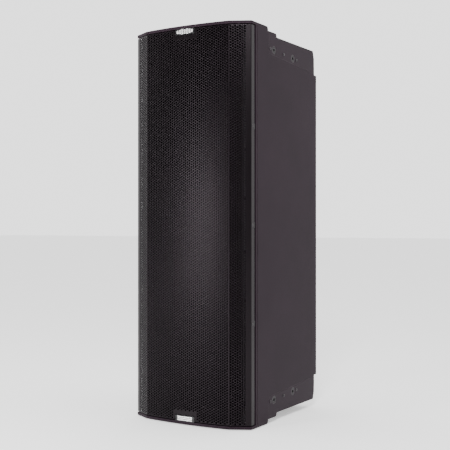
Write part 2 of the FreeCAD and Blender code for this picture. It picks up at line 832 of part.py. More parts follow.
def grille_foam():
    """A sheet of open foam behind the grille, kept clear of the posts and of the badge plates."""
    inset = d.grille_inset + d.grille_thick + d.foam_gap
    tan = facet_sin / facet_cos
    reach = half - d.grille_inset - d.grille_thick - d.post_size - 4

    def line(inner):
        gap = inset + inner
        bend = bend_x - gap * bend_shift
        bend_y = side_y - d.facet_depth + gap / facet_cos - gap * bend_shift * tan
        end_y = bend_y + (reach - bend) * tan
        return [(-reach, end_y), (-bend, bend_y, bow_radius - gap), (bend, bend_y), (reach, end_y)]

    outline = [*line(0), *walked_back(line(d.foam_thick))]
    trim = d.wall + 4
    solid = prism("XY", floor_z + trim, top_z - trim, outline)
    notch = d.badge_width / 2 + 5
    depth = d.badge_height + 4
    return cut(
        solid,
        box(-notch, notch, front_y - 1, side_y + 10, top_z - trim - depth, top_z),
        box(-notch, notch, front_y - 1, side_y + 10, floor_z, floor_z + trim + depth),
    )


def badge_faces(rise):
    """The lowest and highest level of one badge, inside the lip."""
    a, b = rise(d.wall + 0.3), rise(d.wall + d.badge_height - 0.5)
    return (a, b) if a.value < b.value else (b, a)


def badge_plate(rise):
    """A dark plate with a stem at its back, sitting in the grille's notch."""
    low, high = badge_faces(rise)
    wide = d.badge_width / 2 - 0.5
    face = front_y + d.grille_inset + 0.6
    return box(-wide, wide, face, face + d.badge_thick, low, high)


def badge_mark(rise, bars):
    """Raised bright bars on a badge plate: each is (left, right, low, high) as shares of the plate."""
    low, high = badge_faces(rise)
    wide, tall = d.badge_width, high - low
    face = front_y + d.grille_inset + 0.6
    made = [
        box(wide * a, wide * b, face - d.mark_thick, face, low + tall * c, low + tall * e)
        for a, b, c, e in bars
    ]
    return group(*made)


def level_bars():
    """Seven upright bars that rise and fall, as on a level meter."""
    heights = (0.5, 0.68, 0.86, 0.7, 0.86, 0.68, 0.5)
    step, wide = 0.125, 0.092
    made = []
    for i, tall in enumerate(heights):
        centre = (i - 3) * step
        made.append((centre - wide / 2, centre + wide / 2, 0.5 - tall / 2, 0.5 + tall / 2))
    return made


def stack_bars():
    """Three long flat bars, one above the other."""
    return [(-0.38, 0.38, 0.14 + 0.27 * k, 0.32 + 0.27 * k) for k in range(3)]


def port_spots():
    rise = d.woofer_offset + d.port_rise
    return [(sx * d.port_x, mid_z + sz * rise) for sx in (-1, 1) for sz in (-1, 1)]


def port_tubes():
    """Four flared reflex tubes, glued into the baffle's corners."""
    bore, skin = d.port_radius, d.port_radius + 2.5
    outline = [
        (bore, 2),
        (bore, d.port_length),
        (skin, d.port_length),
        (skin, 0),
        (skin + 4, 0),
        (skin + 4, -2),
        (bore + 4, -2, -4),
    ]
    return group(*[turned(outline, x, baffle_y, z) for x, z in port_spots()])


def internal_braces():
    """Two shelves that tie the shell's sides together either side of the horn."""
    made = []
    rear = rear_y - 8 - d.wall - d.slip
    offset = d.horn_height / 2 + 6
    for side in (-1, 1):
        z = mid_z + side * offset
        low = z if side > 0 else z - 9
        wide = inner_x - d.slip
        shelf = box(-wide, wide, ledge_back + 0.5, rear, low, low + 9)
        window = box(-wide + 34, wide - 34, ledge_back + 40, rear + 1, low - 1, low + 10)
        made.append(cut(shelf, window))
    return group(*made)


def damping_foam():
    """Acoustic foam sheets glued to the shell's side walls behind each woofer."""
    made = []
    thick = 12
    brace = d.horn_height / 2 + 6 + 9
    for side in (-1, 1):
        for end in (-1, 1):
            inner, outer = side * (inner_x - thick), side * inner_x
            x0, x1 = (inner, outer) if side > 0 else (outer, inner)
            a, b = mid_z + end * (brace + 22), mid_z + end * (brace + 180)
            z0, z1 = (a, b) if end > 0 else (b, a)
            made.append(box(x0, x1, ledge_back + 95, rear_y - 60, z0, z1))
    return group(*made)


# ---------------------------------------------------------------- woofers


def woofer_levels():
    return {"lower": mid_z - d.woofer_offset, "upper": mid_z + d.woofer_offset}


def woofer_screw_spots():
    ring = d.frame_radius - 7
    return [
        (ring * math.cos(math.radians(22.5 + 45 * k)), level + ring * math.sin(math.radians(22.5 + 45 * k)))
        for level in woofer_levels().values()
        for k in range(8)
    ]


flange_front = -5  # the woofer flange stands this far in front of the baffle
roll_outer = derive("roll_outer", cutout_radius - 6.8)
roll_inner = derive("roll_inner", roll_outer - 12.4)
cone_rim = derive("cone_rim", roll_inner - 3.3)
spider_h = derive("spider_h", d.basket_depth - 16)
neck_h = derive("neck_h", d.basket_depth - 27)
gap_outer = derive("gap_outer", d.coil_radius + 1.6)
pole_radius = derive("pole_radius", d.coil_radius - 1)
magnet_h = derive("magnet_h", d.basket_depth + 8)
yoke_h = derive("yoke_h", magnet_h + 18)


def basket(level):
    """A cast frame: a flange on the baffle, six arms, a spider ledge and a seat for the motor."""
    foot = d.basket_depth
    outline = [
        (roll_outer - 1, flange_front),
        (d.frame_radius, flange_front),
        (d.frame_radius, 0),
        (cutout_radius - 0.5, 0),
        (cutout_radius - 3.5, 14),
        (d.magnet_radius + 6, foot - 6),
        (d.magnet_radius + 6, foot),
        (gap_outer + 5, foot),
        (gap_outer + 5, foot - 4),
        (d.magnet_radius + 2, foot - 4),
        (d.magnet_radius + 2, spider_h + 4),
        (d.magnet_radius - 2, spider_h + 4),
        (d.magnet_radius - 2, spider_h),
        (d.magnet_radius + 8, spider_h),
        (cutout_radius - 8, 13),
        (roll_outer - 1, -1),
    ]
    body = turned(outline, 0, baffle_y, level)
    window = sketch_in(body, "XZ", 0, [[
        (d.magnet_radius + 12, 18),
        (cutout_radius + 10, 18),
        (cutout_radius + 10, spider_h - 6),
        (d.magnet_radius + 12, spider_h - 6),
    ]])
    pocket = body.newObject("PartDesign::Pocket", "Window")
    pocket.Profile = window
    pocket.Midplane = True
    pocket.setExpression("Length", (d.magnet_radius * 0.75).text)
    doc.recompute()
    pattern = body.newObject("PartDesign::PolarPattern", "Arms")
    pattern.Originals = [pocket]
    pattern.Axis = (window, ["V_Axis"])
    pattern.Angle = 360
    pattern.Occurrences = 6
    body.Tip = pattern
    x0 = d.frame_radius - 7
    holes = [
        rod(2.7, x0 * math.cos(math.radians(22.5 + 45 * k)), baffle_y + flange_front - 1,
            level + x0 * math.sin(math.radians(22.5 + 45 * k)), 8, "y")
        for k in range(8)
    ]
    return cut(body, group(*holes))


def cone(level):
    """The paper cone, from its flat rim down to the neck at the voice coil."""
    neck = d.coil_radius + 0.35
    thick = 1.3
    outline = [
        (neck, neck_h),
        (neck, neck_h + thick * 1.6),
        (cone_rim, flange_front + thick * 1.6),
        (roll_inner, flange_front + thick),
        (roll_inner, flange_front),
        (cone_rim, flange_front),
    ]
    return turned(outline, 0, baffle_y, level)


def dome(rim, rise):
    """The radius of a dome that rises over a round rim and is level at its middle."""
    return (of(rim) * rim + of(rise) * rise) / (2 * of(rise))


def dust_cap(level):
    """The dome glued over the cone's neck."""
    rim = d.coil_radius * 1.3
    fall = (neck_h - flange_front) / (cone_rim - d.coil_radius - 0.35)
    seat = neck_h - (rim - d.coil_radius - 0.35) * fall - 0.2
    rise = rim * 0.32
    inner_rim = rim - 1.4
    outline = [
        (0, seat - rise - 0.8),
        (rim, seat - 0.8),
        (rim, seat),
        (inner_rim, seat),
        (0, seat - rise),
    ]
    outline[0] = (*outline[0], dome(rim, rise))
    outline[3] = (*outline[3], -dome(inner_rim, rise))
    return turned(outline, 0, baffle_y, level)


def surround(level):
    """The half-roll rubber edge between cone and flange."""
    span = roll_outer - roll_inner
    flat = flange_front
    outline = [
        (cone_rim, flat - 1),
        (roll_inner, flat - 1, span * 0.524),
        (roll_outer, flat - 1),
        (roll_outer + 5, flat - 1),
        (roll_outer + 5, flat),
        (roll_outer - 1.2, flat, -(span / 2 - 1.15)),
        (roll_inner + 1.2, flat),
        (cone_rim, flat),
    ]
    return turned(outline, 0, baffle_y, level)


def spider(level):
    """The corrugated cloth disc that centres the coil."""
    inner, outer = d.coil_radius + 1.2, d.magnet_radius + 6
    waves, swing, thick = 5, 1.8, 0.8
    front = []
    flat_end = d.magnet_radius - 3
    step = (flat_end - inner) / (waves * 2)
    for k in range(waves * 2 + 1):
        wave = 0 if k % 2 == 0 else (swing if k % 4 == 1 else -swing)
        front.append((inner + step * k, spider_h - thick - 0.1 + wave))
    front.append((outer, spider_h - thick - 0.1))
    behind = [(r, h + thick) for r, h in front]
    return turned([*front, *behind[::-1]], 0, baffle_y, level)


def voice_coil(level):
    """The former, a thin tube, with the winding at its inner end."""
    bore = d.coil_radius - 0.5
    end = yoke_h - 8
    outline = [
        (bore, neck_h - 2),
        (d.coil_radius, neck_h - 2),
        (d.coil_radius, end - 15),
        (d.coil_radius + 1, end - 15),
        (d.coil_radius + 1, end),
        (bore, end),
    ]
    return turned(outline, 0, baffle_y, level)


def ring_of(inner, outer, low, high, level):
    return turned([(inner, low), (outer, low), (outer, high), (inner, high)], 0, baffle_y, level)


def pole_piece(level):
    """The yoke: a back plate with the vented pole that stands inside the coil."""
    vent = 10
    edge = d.magnet_radius - 3
    outline = [
        (vent, d.basket_depth + 1),
        (pole_radius, d.basket_depth + 1),
        (pole_radius, yoke_h),
        (edge, yoke_h),
        (edge, yoke_h + 8),
        (vent, yoke_h + 8),
    ]
    return turned(outline, 0, baffle_y, level)


def woofer_screws():
    return [screw(x, baffle_y + flange_front, z, 4.6, 3, 2, 14, "y") for x, z in woofer_screw_spots()]


def build_woofers():
    levels = woofer_levels()
    for side, level in levels.items():
        node(f"{side}_woofer_basket", basket(level))
        node(f"{side}_woofer_cone", cone(level))
        node(f"{side}_woofer_dust_cap", dust_cap(level))
        node(f"{side}_woofer_surround", surround(level))
        node(f"{side}_woofer_spider", spider(level))
        node(f"{side}_woofer_voice_coil", voice_coil(level))
    rows = list(levels.values())
    screw_circle = d.frame_radius - 7
    gaskets = []
    for z in rows:
        ring = ring_of(roll_outer + 1.5, d.frame_radius - 1.5, flange_front - 4, flange_front - 1, z)
        heads = []
        for k in range(8):
            turn = math.radians(22.5 + 45 * k)
            x, rise = screw_circle * math.cos(turn), screw_circle * math.sin(turn)
            heads.append(rod(5.2, x, baffle_y + flange_front - 5, z + rise, 5, "y"))
        gaskets.append(cut(ring, *heads))
    node("woofer_gaskets", group(*gaskets))
    node("woofer_front_plates", group(*[
        ring_of(gap_outer, d.magnet_radius - 4, d.basket_depth, magnet_h, z) for z in rows]))
    node("woofer_magnets", group(*[
        ring_of(gap_outer + 10, d.magnet_radius, magnet_h, yoke_h, z) for z in rows]))
    node("woofer_pole_pieces", group(*[pole_piece(z) for z in rows]))


# ---------------------------------------------------------------- horn and compression driver


def rounded_rect(wide, tall, corner):
    """A rounded rectangle about the horn's axis, as (x, z) corners."""
    return [
        (corner - wide, mid_z - tall),
        (wide - corner, mid_z - tall, corner),
        (wide, mid_z - tall + corner),
        (wide, mid_z + tall - corner, corner),
        (wide - corner, mid_z + tall),
        (corner - wide, mid_z + tall, corner),
        (-wide, mid_z + tall - corner),
        (-wide, mid_z - tall + corner, corner),
    ]


def horn_screw_spots():
    x, z = d.horn_width / 2 - 7, d.horn_height / 2 - 7
    corners = [(sx * x, mid_z + sz * z) for sx in (-1, 1) for sz in (-1, 1)]
    return corners + [(s * x, mid_z + z * k) for s in (-1, 1) for k in (-0.35, 0.35)]


def loft(body, kind, stations):
    sections = []
    for y, wide, tall, corner in stations:
        sections.append(sketch_in(body, "XZ", -y, [rounded_rect(wide, tall, corner)]))
    feature = body.newObject(f"PartDesign::{kind}Loft", kind)
    feature.Profile = sections[0]
    feature.Sections = sections[1:]
    feature.Ruled = True
    doc.recompute()


def horn_waveguide():
    """The horn: a flange on the baffle and a mouth that narrows in three stages to the throat."""
    skin = 4
    throat_y = baffle_y + d.horn_depth
    mouth = (d.horn_width / 2 - 19, d.horn_height / 2 - 19)
    stages = [
        (baffle_y - 4, mouth[0], mouth[1], 24),
        (baffle_y + d.horn_depth * 0.3, mouth[0] * 0.62, mouth[1] * 0.66, 24),
        (baffle_y + d.horn_depth * 0.65, mouth[0] * 0.3, mouth[1] * 0.34, 22),
        (throat_y, d.throat_radius, d.throat_radius, d.throat_radius * 0.98),
    ]
    outside = [(y, wide + skin, tall + skin, corner + skin) for y, wide, tall, corner in stages]
    inside = [(y, wide, tall, corner) for y, wide, tall, corner in stages]
    body = doc.addObject("PartDesign::Body", "Horn")
    loft(body, "Additive", outside)
    loft(body, "Subtractive", inside)
    flange = prism("XZ", baffle_y - 4, baffle_y,
                   rounded_rect(d.horn_width / 2, d.horn_height / 2, 12),
                   rounded_rect(mouth[0] + 1, mouth[1] + 1, 24))
    disc = rod(45, 0, throat_y - 6, mid_z, 6, "y")
    disc = cut(disc, rod(d.throat_radius + skin - 1, 0, throat_y - 8, mid_z, 10, "y"))
    holes = [rod(2, x, baffle_y - 6, z, 8, "y") for x, z in horn_screw_spots()]
    return cut(fuse(body, flange, disc), group(*holes))


def build_driver():
    """The compression driver: body with throat, phase plug, diaphragm and rear cover."""
    face = baffle_y + d.horn_depth
    size, throat = d.driver_radius, d.throat_radius
    body = turned([
        (throat, 0), (size, 0), (size, 44), (size - 10, 44), (size - 10, 34),
        (36, 34), (36, 22), (throat + 6, 6), (throat, 6),
    ], 0, face, mid_z)
    node("driver_body", body)
    node("driver_phase_plug", turned([
        (0, 8), (throat + 4, 22), (33, 32), (36, 32), (36, 33.8), (33, 35.5, dome(33, 11.1)), (0, 46.6),
    ], 0, face, mid_z))
    node("driver_diaphragm", turned([
        (34, 37), (46.8, 37), (46.8, 37.6),
        (34.5, 37.6, dome(34.5, 11.6)), (0, 49.2), (0, 48.4, -dome(34, 11.4)),
    ], 0, face, mid_z))
    clamp = turned([(47, 34), (size - 10.2, 34), (size - 10.2, 40), (47, 40)], 0, face, mid_z)
    cover = turned([
        (0, 57), (size - 13, 57), (size - 4, 48), (size - 4, 44),
        (size, 44), (size, 50), (size - 10, 60), (0, 60),
    ], 0, face, mid_z)
    node("driver_rear_cover", group(cover, clamp))


def horn_screws():
    return [screw(x, baffle_y - 4, z, 3.6, 2.2, 1.7, 14, "y") for x, z in horn_screw_spots()]


# ---------------------------------------------------------------- handles


def handle(level):
    """A moulded cup let into the shell's back, with the grip bar across it."""
    wide, tall, deep = d.handle_width / 2, d.handle_height / 2, d.handle_depth
    skin = 3
    cup = box(-wide, wide, back_y - deep, back_y - 2, level - tall, level + tall)
    plate = box(-wide - 13, wide + 13, back_y - 3, back_y, level - tall - 5, level + tall + 5)
    plate = rounded(plate, 5, lambda edge: along(edge, "y"))
    inside, rise = wide - skin, tall - skin
    room = box(-inside, inside, back_y - deep + skin, back_y + 1, level - rise, level + rise)
    grip = box(-wide + 1, wide - 1, back_y - 20, back_y - 2, level - 11, level + 11)
    grip = rounded(grip, 6, lambda edge: along(edge, "x"))
    tools = [rod(2, x, back_y - 4, z, 5, "y") for x, z in handle_screw_spots(level)]
    tools += [rod(4, x, back_y - 1.2, z, 2, "y") for x, z in handle_screw_spots(level)]
    hollow = cut(cut(fuse(cup, plate), room), *tools)
    return fuse(hollow, grip)


def handle_screws():
    made = []
    for level in handle_levels().values():
        made += [screw(x, back_y - 1.2, z, 3.8, 1.1, 1.7, 7, "-y") for x, z in handle_screw_spots(level)]
    return made


# ---------------------------------------------------------------- amplifier

# Where things sit on the panel, as (x, height above the panel's middle), seen from the front of the cabinet.
SOCKETS = {
    "mains_inlet": (-78, -160),
    "mains_link_outlet": (-40, -160),
    "line_input_socket": (84, -160),
    "line_link_socket": (46, -160),
}
NETWORK = [(72, -110), (42, -110)]
SERVICE = (8, -110)
KNOBS = {"level_knob": (82, -58), "preset_knob_coverage": (40, -58), "preset_knob_coupling": (-2, -58)}
ROCKER = (-66, -104)
LEDS = [(-44 - 14 * k, -58) for k in range(4)]
SOCKET_HALF = (13, 15.5)


def heat_sink():
    """An extrusion bolted to the panel's upper half: a thin base with upright cooling fins."""
    run = d.panel_width - 34
    low = mid_z + 18
    base = box(run / -2 - 1.4, run / 2 + 1.4, panel_y, panel_y + 3, low, low + d.fin_length)
    count = int(d.fin_count.value)
    fins = []
    for k in range(count):
        x = run * (k / (count - 1) - 0.5)
        fins.append(box(x - 1.4, x + 1.4, panel_y + 2, panel_y + d.fin_proud, low, low + d.fin_length))
    return fuse(base, *fins)


def amp_panel():
    """The aluminium panel that everything electrical is fixed to, holed for each socket and control."""
    plate = box(-panel_half, panel_half, panel_y - d.panel_thick, panel_y, panel_low, panel_high)
    start, through = panel_y - d.panel_thick - 1, d.panel_thick + 2
    tools = [rod(2, x, start, z, through, "y") for x, z in panel_screw_spots()]
    for x, h in SOCKETS.values():
        tools.append(rod(12.2, x, start, mid_z + h, through, "y"))
        for sx, sz in ((-1, 1), (1, -1)):
            tools.append(rod(1.5, x + sx * 9.5, start, mid_z + h + sz * 12, through, "y"))
    x, z = SOCKETS["line_input_socket"][0], mid_z + SOCKETS["line_input_socket"][1] + 12.6
    tools.append(box(x - 3.3, x + 3.3, panel_y - 6, panel_y + 1, z - 1.7, z + 1.7))
    for x, h in NETWORK:
        tools.append(box(x - 8.2, x + 8.2, panel_y - 6, panel_y + 1, mid_z + h - 7.2, mid_z + h + 7.2))
    tools.append(box(SERVICE[0] - 6.2, SERVICE[0] + 6.2, panel_y - 6, panel_y + 1,
                     mid_z + SERVICE[1] - 5.7, mid_z + SERVICE[1] + 5.7))
    tools += [rod(3.05, x, panel_y - 6, mid_z + h, 8, "y") for x, h in KNOBS.values()]
    tools += [rod(2.6, x, panel_y - 6, mid_z + h, 8, "y") for x, h in LEDS]
    x, z = ROCKER[0], mid_z + ROCKER[1]
    tools.append(box(x - 11, x + 11, panel_y - 6, panel_y + 1, z - 14, z + 14))
    return cut(plate, *tools)


def amp_gasket():
    """A rubber seal between the panel and the shell's ledge."""
    low = panel_y - d.panel_thick - 1.4
    high = panel_y - d.panel_thick - 0.1
    solid = box(-panel_half + 0.5, panel_half - 0.5, low, high, panel_low + 0.5, panel_high - 0.5)
    window = box(12 - panel_half, panel_half - 12, low - 1, high + 1, panel_low + 12, panel_high - 12)
    holes = [rod(2, x, low - 1, z, 4, "y") for x, z in panel_screw_spots()]
    return cut(cut(solid, window), group(*holes))


def amp_panel_screws():
    return [screw(x, panel_y, z, 3.6, 2, 1.7, 12, "-y") for x, z in panel_screw_spots()]


def tray_faces():
    """The amplifier tray's half width, lowest and highest level, and its inner and outer faces along Y."""
    wide = panel_half - 15
    inner_y = panel_y - d.panel_thick
    return wide, panel_low + 15, panel_high - 15, inner_y - d.tray_depth, inner_y - 0.1


def amp_tray():
    """The sealed sheet-metal box behind the panel that keeps the electronics out of the air load."""
    wide, low, high, inner, outer = tray_faces()
    solid = box(-wide, wide, inner, outer, low, high)
    room = box(1.5 - wide, wide - 1.5, inner + 1.5, outer + 1, low + 1.5, high - 1.5)
    return cut(solid, room)


def board(x0, x1, z0, z1, parts):
    """A circuit board on the tray's back wall; its tall parts are (x, z, radius or half sizes, height)."""
    inner = tray_faces()[3]
    face = inner + 8
    base = box(x0, x1, face, face + 1.6, z0, z1)
    pillars = [rod(3, x, inner + 1.5, z, 6.5, "y") for x in (x0 + 6, x1 - 6) for z in (z0 + 6, z1 - 6)]
    tall = []
    for x, z, size, height in parts:
        if isinstance(size, tuple):
            a, b = size
            tall.append(box(x - a, x + a, face + 1.6, face + 1.6 + height, z - b, z + b))
        else:
            tall.append(rod(size, x, face + 1.6, z, height, "y"))
    return group(base, *pillars, *tall)


def boards():
    wide, _, high, _, _ = tray_faces()
    coils = [(-60, mid_z + 40, 13, 26), (-60, mid_z + 75, 13, 26), (10, mid_z + 55, (24, 22), 30)]
    caps = [(x, mid_z + 150, 11, 34) for x in (-70, -44, -18)]
    power = board(10 - wide, wide - 10, mid_z + 10, high - 12, coils + caps)
    signal = [(-20, mid_z - 80, (14, 14), 3), (20, mid_z - 84, (7, 5), 2), (-10, mid_z - 40, 5, 9)]
    node("circuit_boards", group(power, board(-40, wide - 10, mid_z - 100, mid_z - 14, signal)))


def dsocket(x, h, pins):
    """A round chassis connector on a square flange; pins are (x, z, radius) of its contacts."""
    z = mid_z + h
    wide, tall = SOCKET_HALF
    flange = box(x - wide, x + wide, panel_y, panel_y + 2, z - tall, z + tall)
    barrel = rod(12, x, panel_y - 22, z, 22, "y")
    well = rod(10, x, panel_y - 16, z, 20, "y")
    holes = [rod(1.6, x + sx * 9.5, panel_y - 1, z + sz * 12, 4, "y") for sx, sz in ((-1, 1), (1, -1))]
    contacts = [rod(r, x + px, panel_y - 17, z + pz, 13, "y") for px, pz, r in pins]
    return fuse(cut(fuse(flange, barrel), well, *holes), *contacts)


def latch(x, h):
    """The release tab that is pressed in to free a plug."""
    z = mid_z + h + 12.6
    return box(x - 3, x + 3, panel_y - 3, panel_y + 4.5, z - 1.4, z + 1.4)


def latched_socket(x, h, pins):
    """A chassis connector with a slot for its release tab."""
    z = mid_z + h + 12.6
    return cut(dsocket(x, h, pins), box(x - 3.3, x + 3.3, panel_y - 7, panel_y + 5, z - 1.7, z + 1.7))


def socket_screws():
    made = []
    for x, h in SOCKETS.values():
        for sx, sz in ((-1, 1), (1, -1)):
            made.append(screw(x + sx * 9.5, panel_y + 2, mid_z + h + sz * 12, 2.6, 1.4, 1.3, 7, "-y"))
    return group(*made)


def jack(x, h, wide, tall, deep):
    """A rectangular data socket: a shell with an open mouth and a tongue inside."""
    z = mid_z + h
    shell = box(x - wide, x + wide, panel_y - deep, panel_y + 0.8, z - tall, z + tall)
    inside, rise = wide - 1.6, tall - 1.6
    mouth = box(x - inside, x + inside, panel_y - deep + 2, panel_y + 2, z - rise, z + rise)
    tongue_z = z + tall * 0.25
    tongue = box(x - wide / 2, x + wide / 2, panel_y - deep + 1, panel_y - 4, tongue_z, tongue_z + 1.2)
    return fuse(cut(shell, mouth), tongue)


def knob(x, h):
    """A turned knob on its shaft, with a pointer line cut into the front."""
    z = mid_z + h
    outline = [(0, -10), (3, -10), (3, 1.2), (9, 1.2), (9, 3), (7.4, 4.5), (6.8, 14), (6, 15), (0, 15)]
    solid = turned(outline, x, panel_y, z)
    groove = box(x - 0.6, x + 0.6, panel_y + 14.2, panel_y + 16, z, z + 8)
    return cut(solid, groove)


def power_switch_bezel():
    x, z = ROCKER[0], mid_z + ROCKER[1]
    flange = box(x - 12.5, x + 12.5, panel_y, panel_y + 1.6, z - 16, z + 16)
    body = box(x - 10.8, x + 10.8, panel_y - 20, panel_y + 0.5, z - 13.8, z + 13.8)
    room = box(x - 8.4, x + 8.4, panel_y - 18, panel_y + 3, z - 12.2, z + 12.2)
    pivot = rod(1.55, x - 10, panel_y - 8, z, 20, "x")
    return cut(fuse(flange, body), room, pivot)


def power_rocker():
    """The rocker turns about an axis along X, set behind the panel's face."""
    x, z = ROCKER[0], mid_z + ROCKER[1]
    barrel = rod(13.5, x - 8, panel_y - 8, z, 16, "x")
    keep = box(x - 9, x + 9, panel_y - 8, panel_y + 4, z - 9.4, z + 9.4)
    dip = rod(22, x - 9, panel_y + 23.6, z, 18, "x")
    pins = rod(1.5, x - 9.8, panel_y - 8, z, 19.6, "x")
    return cut(fuse(common(barrel, keep), pins), dip)


def status_leds():
    outline = [(0, -8), (2.4, -8), (2.4, 0.2), (3.2, 0.2), (3.2, 0.8), (0, 2.2)]
    return group(*[turned(outline, x, panel_y, mid_z + h)
                   for x, h in LEDS])


def build_amplifier():
    node("amp_panel", amp_panel())
    node("heat_sink", heat_sink())
    node("amp_gasket", amp_gasket())
    shank = d.wall + d.back_ledge - 3
    backs = [screw(x, back_y - 1.7, z, 3.8, 1.6, 1.7, shank, "-y") for x, z in back_screw_spots()]
    node("rear_screws", group(*amp_panel_screws(), *handle_screws(), *backs))
    node("amp_tray", amp_tray())
    boards()
    round_pins = [(4.5, -2.6, 1.2), (-4.5, -2.6, 1.2), (0, 5.2, 1.2)]
    blades = [(5, 0, 1.6), (-5, 0, 1.6), (0, -5, 1.6)]
    mains = [dsocket(*SOCKETS[name], blades) for name in ("mains_inlet", "mains_link_outlet")]
    node("mains_sockets", group(*mains))
    node("line_input_socket", latched_socket(*SOCKETS["line_input_socket"], round_pins))
    node("line_input_latch", latch(*SOCKETS["line_input_socket"]))
    node("line_link_socket", dsocket(*SOCKETS["line_link_socket"], round_pins))
    node("socket_screws", socket_screws())
    node("data_sockets", group(*[jack(x, h, 8, 7, 14) for x, h in NETWORK], jack(*SERVICE, 6, 5.5, 12)))
    for name, (x, h) in KNOBS.items():
        node(name, knob(x, h))
    node("power_switch_bezel", power_switch_bezel())
    node("power_rocker", power_rocker())
    node("status_leds", status_leds())


# ---------------------------------------------------------------- assembly


grille_low = derive("grille_low", floor_z + d.wall + d.grille_end_gap)
grille_high = derive("grille_high", top_z - d.wall - d.grille_end_gap)


def build_cabinet():
    outer = outer_body()
    node("cabinet_shell", cut(cabinet_shell(outer), shell_holes()))
    node("top_saddle", saddle(outer, from_top))
    node("bottom_saddle", saddle(outer, from_bottom))
    node("rigging_inserts", rigging_inserts())
    node("base_block", end_block(from_bottom, True))
    node("top_block", end_block(from_top, False))
    node("end_screws", group(*saddle_screws(), *block_screws()))
    node("rubber_feet", rubber_feet())
    node("back_panel", back_panel())
    node("front_baffle", front_baffle())
    node("grille", grille())
    node("grille_screws", grille_screws())
    node("grille_foam", grille_foam())
    node("badge_plates", group(badge_plate(from_top), badge_plate(from_bottom)))
    node("badge_marks", group(badge_mark(from_top, level_bars()), badge_mark(from_bottom, stack_bars())))
    node("port_tubes", port_tubes())
    node("internal_braces", internal_braces())
    node("damping_foam", damping_foam())
    for side, level in handle_levels().items():
        node(f"{side}_handle", handle(level))


def check_and_write():
    """Stops on any failed feature or bad shape, then writes one STEP file for each piece."""
    doc.recompute()
    failed = [o.Label for o in doc.Objects if {"Invalid", "Error"} & set(o.State)]
    if failed:
        raise SystemExit(f"these objects failed: {failed}")
    for piece in nodes:
        if piece.Shape.isNull() or not piece.Shape.isValid() or not piece.Shape.Solids:
            raise SystemExit(f"{piece.Label} has no valid shape")
    os.makedirs(PARTS, exist_ok=True)
    for piece in nodes:
        piece.Shape.exportStep(os.path.join(PARTS, f"{piece.Label}.step"))


build_cabinet()
build_woofers()
node("horn_waveguide", horn_waveguide())
baffle_screws = [
    screw(x, baffle_y, z, 3.8, 1.6, 1.7, d.baffle_thick + d.ledge - 2, "y") for x, z in baffle_screw_spots()]
node("front_screws", group(*woofer_screws(), *horn_screws(), *baffle_screws))
build_driver()
build_amplifier()
check_and_write()
print(f"{len(nodes)} nodes written")
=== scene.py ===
import math

import bpy
import numpy as np
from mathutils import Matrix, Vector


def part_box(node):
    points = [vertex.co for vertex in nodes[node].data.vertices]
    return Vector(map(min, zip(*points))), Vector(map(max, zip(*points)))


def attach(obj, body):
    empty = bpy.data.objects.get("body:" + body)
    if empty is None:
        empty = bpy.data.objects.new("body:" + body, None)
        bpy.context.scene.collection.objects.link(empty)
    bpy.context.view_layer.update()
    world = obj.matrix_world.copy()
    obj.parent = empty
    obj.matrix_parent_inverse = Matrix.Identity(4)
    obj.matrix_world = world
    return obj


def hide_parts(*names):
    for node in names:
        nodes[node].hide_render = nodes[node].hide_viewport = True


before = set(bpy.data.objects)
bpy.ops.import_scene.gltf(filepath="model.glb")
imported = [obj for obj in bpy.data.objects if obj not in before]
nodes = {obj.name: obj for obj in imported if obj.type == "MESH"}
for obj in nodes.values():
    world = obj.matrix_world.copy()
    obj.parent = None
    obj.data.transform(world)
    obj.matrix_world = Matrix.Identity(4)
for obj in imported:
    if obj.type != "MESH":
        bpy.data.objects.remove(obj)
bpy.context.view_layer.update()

# Moulded cabinet. The enclosure is one injection moulding in dark purple-grey polypropylene, with a fine
# spark-eroded grain all over. Its edges catch the light, and a paler colour painted along them is partly
# wear from handling and partly a painted highlight. The screwed back panel and the blocks inside both ends
# are moulded to match.
ROUNDED_EDGE = 0.0012
# The wider bevel and the two cosines below mark a paler band along every edge: partly wear, partly a painted
# highlight.
WEAR_AND_HIGHLIGHT_EDGE = 0.0022
EDGE_SAMPLES = 6
WEAR_AND_HIGHLIGHT_FROM, WEAR_AND_HIGHLIGHT_TO = 0.995, 0.86  # cosines between the face's own normal and the rounded one
GRAIN_RANGE = (0.3, 0.7)  # the part of each noise that is stretched from none to all
BLOTCH_RANGE = (0.35, 0.65)
MIX_FACTOR, MIX_A, MIX_B, MIX_RESULT = 0, 6, 7, 2  # the colour sockets of a Mix node, by number


def new_group(name, inputs, outputs):
    """An empty shader group with float inputs, as (name, value), and outputs, as (name, socket type)."""
    tree = bpy.data.node_groups.new(name, "ShaderNodeTree")
    for label, value in inputs:
        tree.interface.new_socket(label, in_out="INPUT", socket_type="NodeSocketFloat").default_value = value
    for label, kind in outputs:
        tree.interface.new_socket(label, in_out="OUTPUT", socket_type=kind)
    return tree, tree.nodes.new("NodeGroupInput"), tree.nodes.new("NodeGroupOutput")


def add_node(tree, kind, links=(), **settings):
    """A node with its settings, and links given as (input name or number, output socket or value)."""
    made = tree.nodes.new(kind)
    for key, value in settings.items():
        setattr(made, key, value)
    for socket, source in links:
        if isinstance(source, bpy.types.NodeSocket):
            tree.links.new(source, made.inputs[socket])
        else:
            made.inputs[socket].default_value = source
    return made


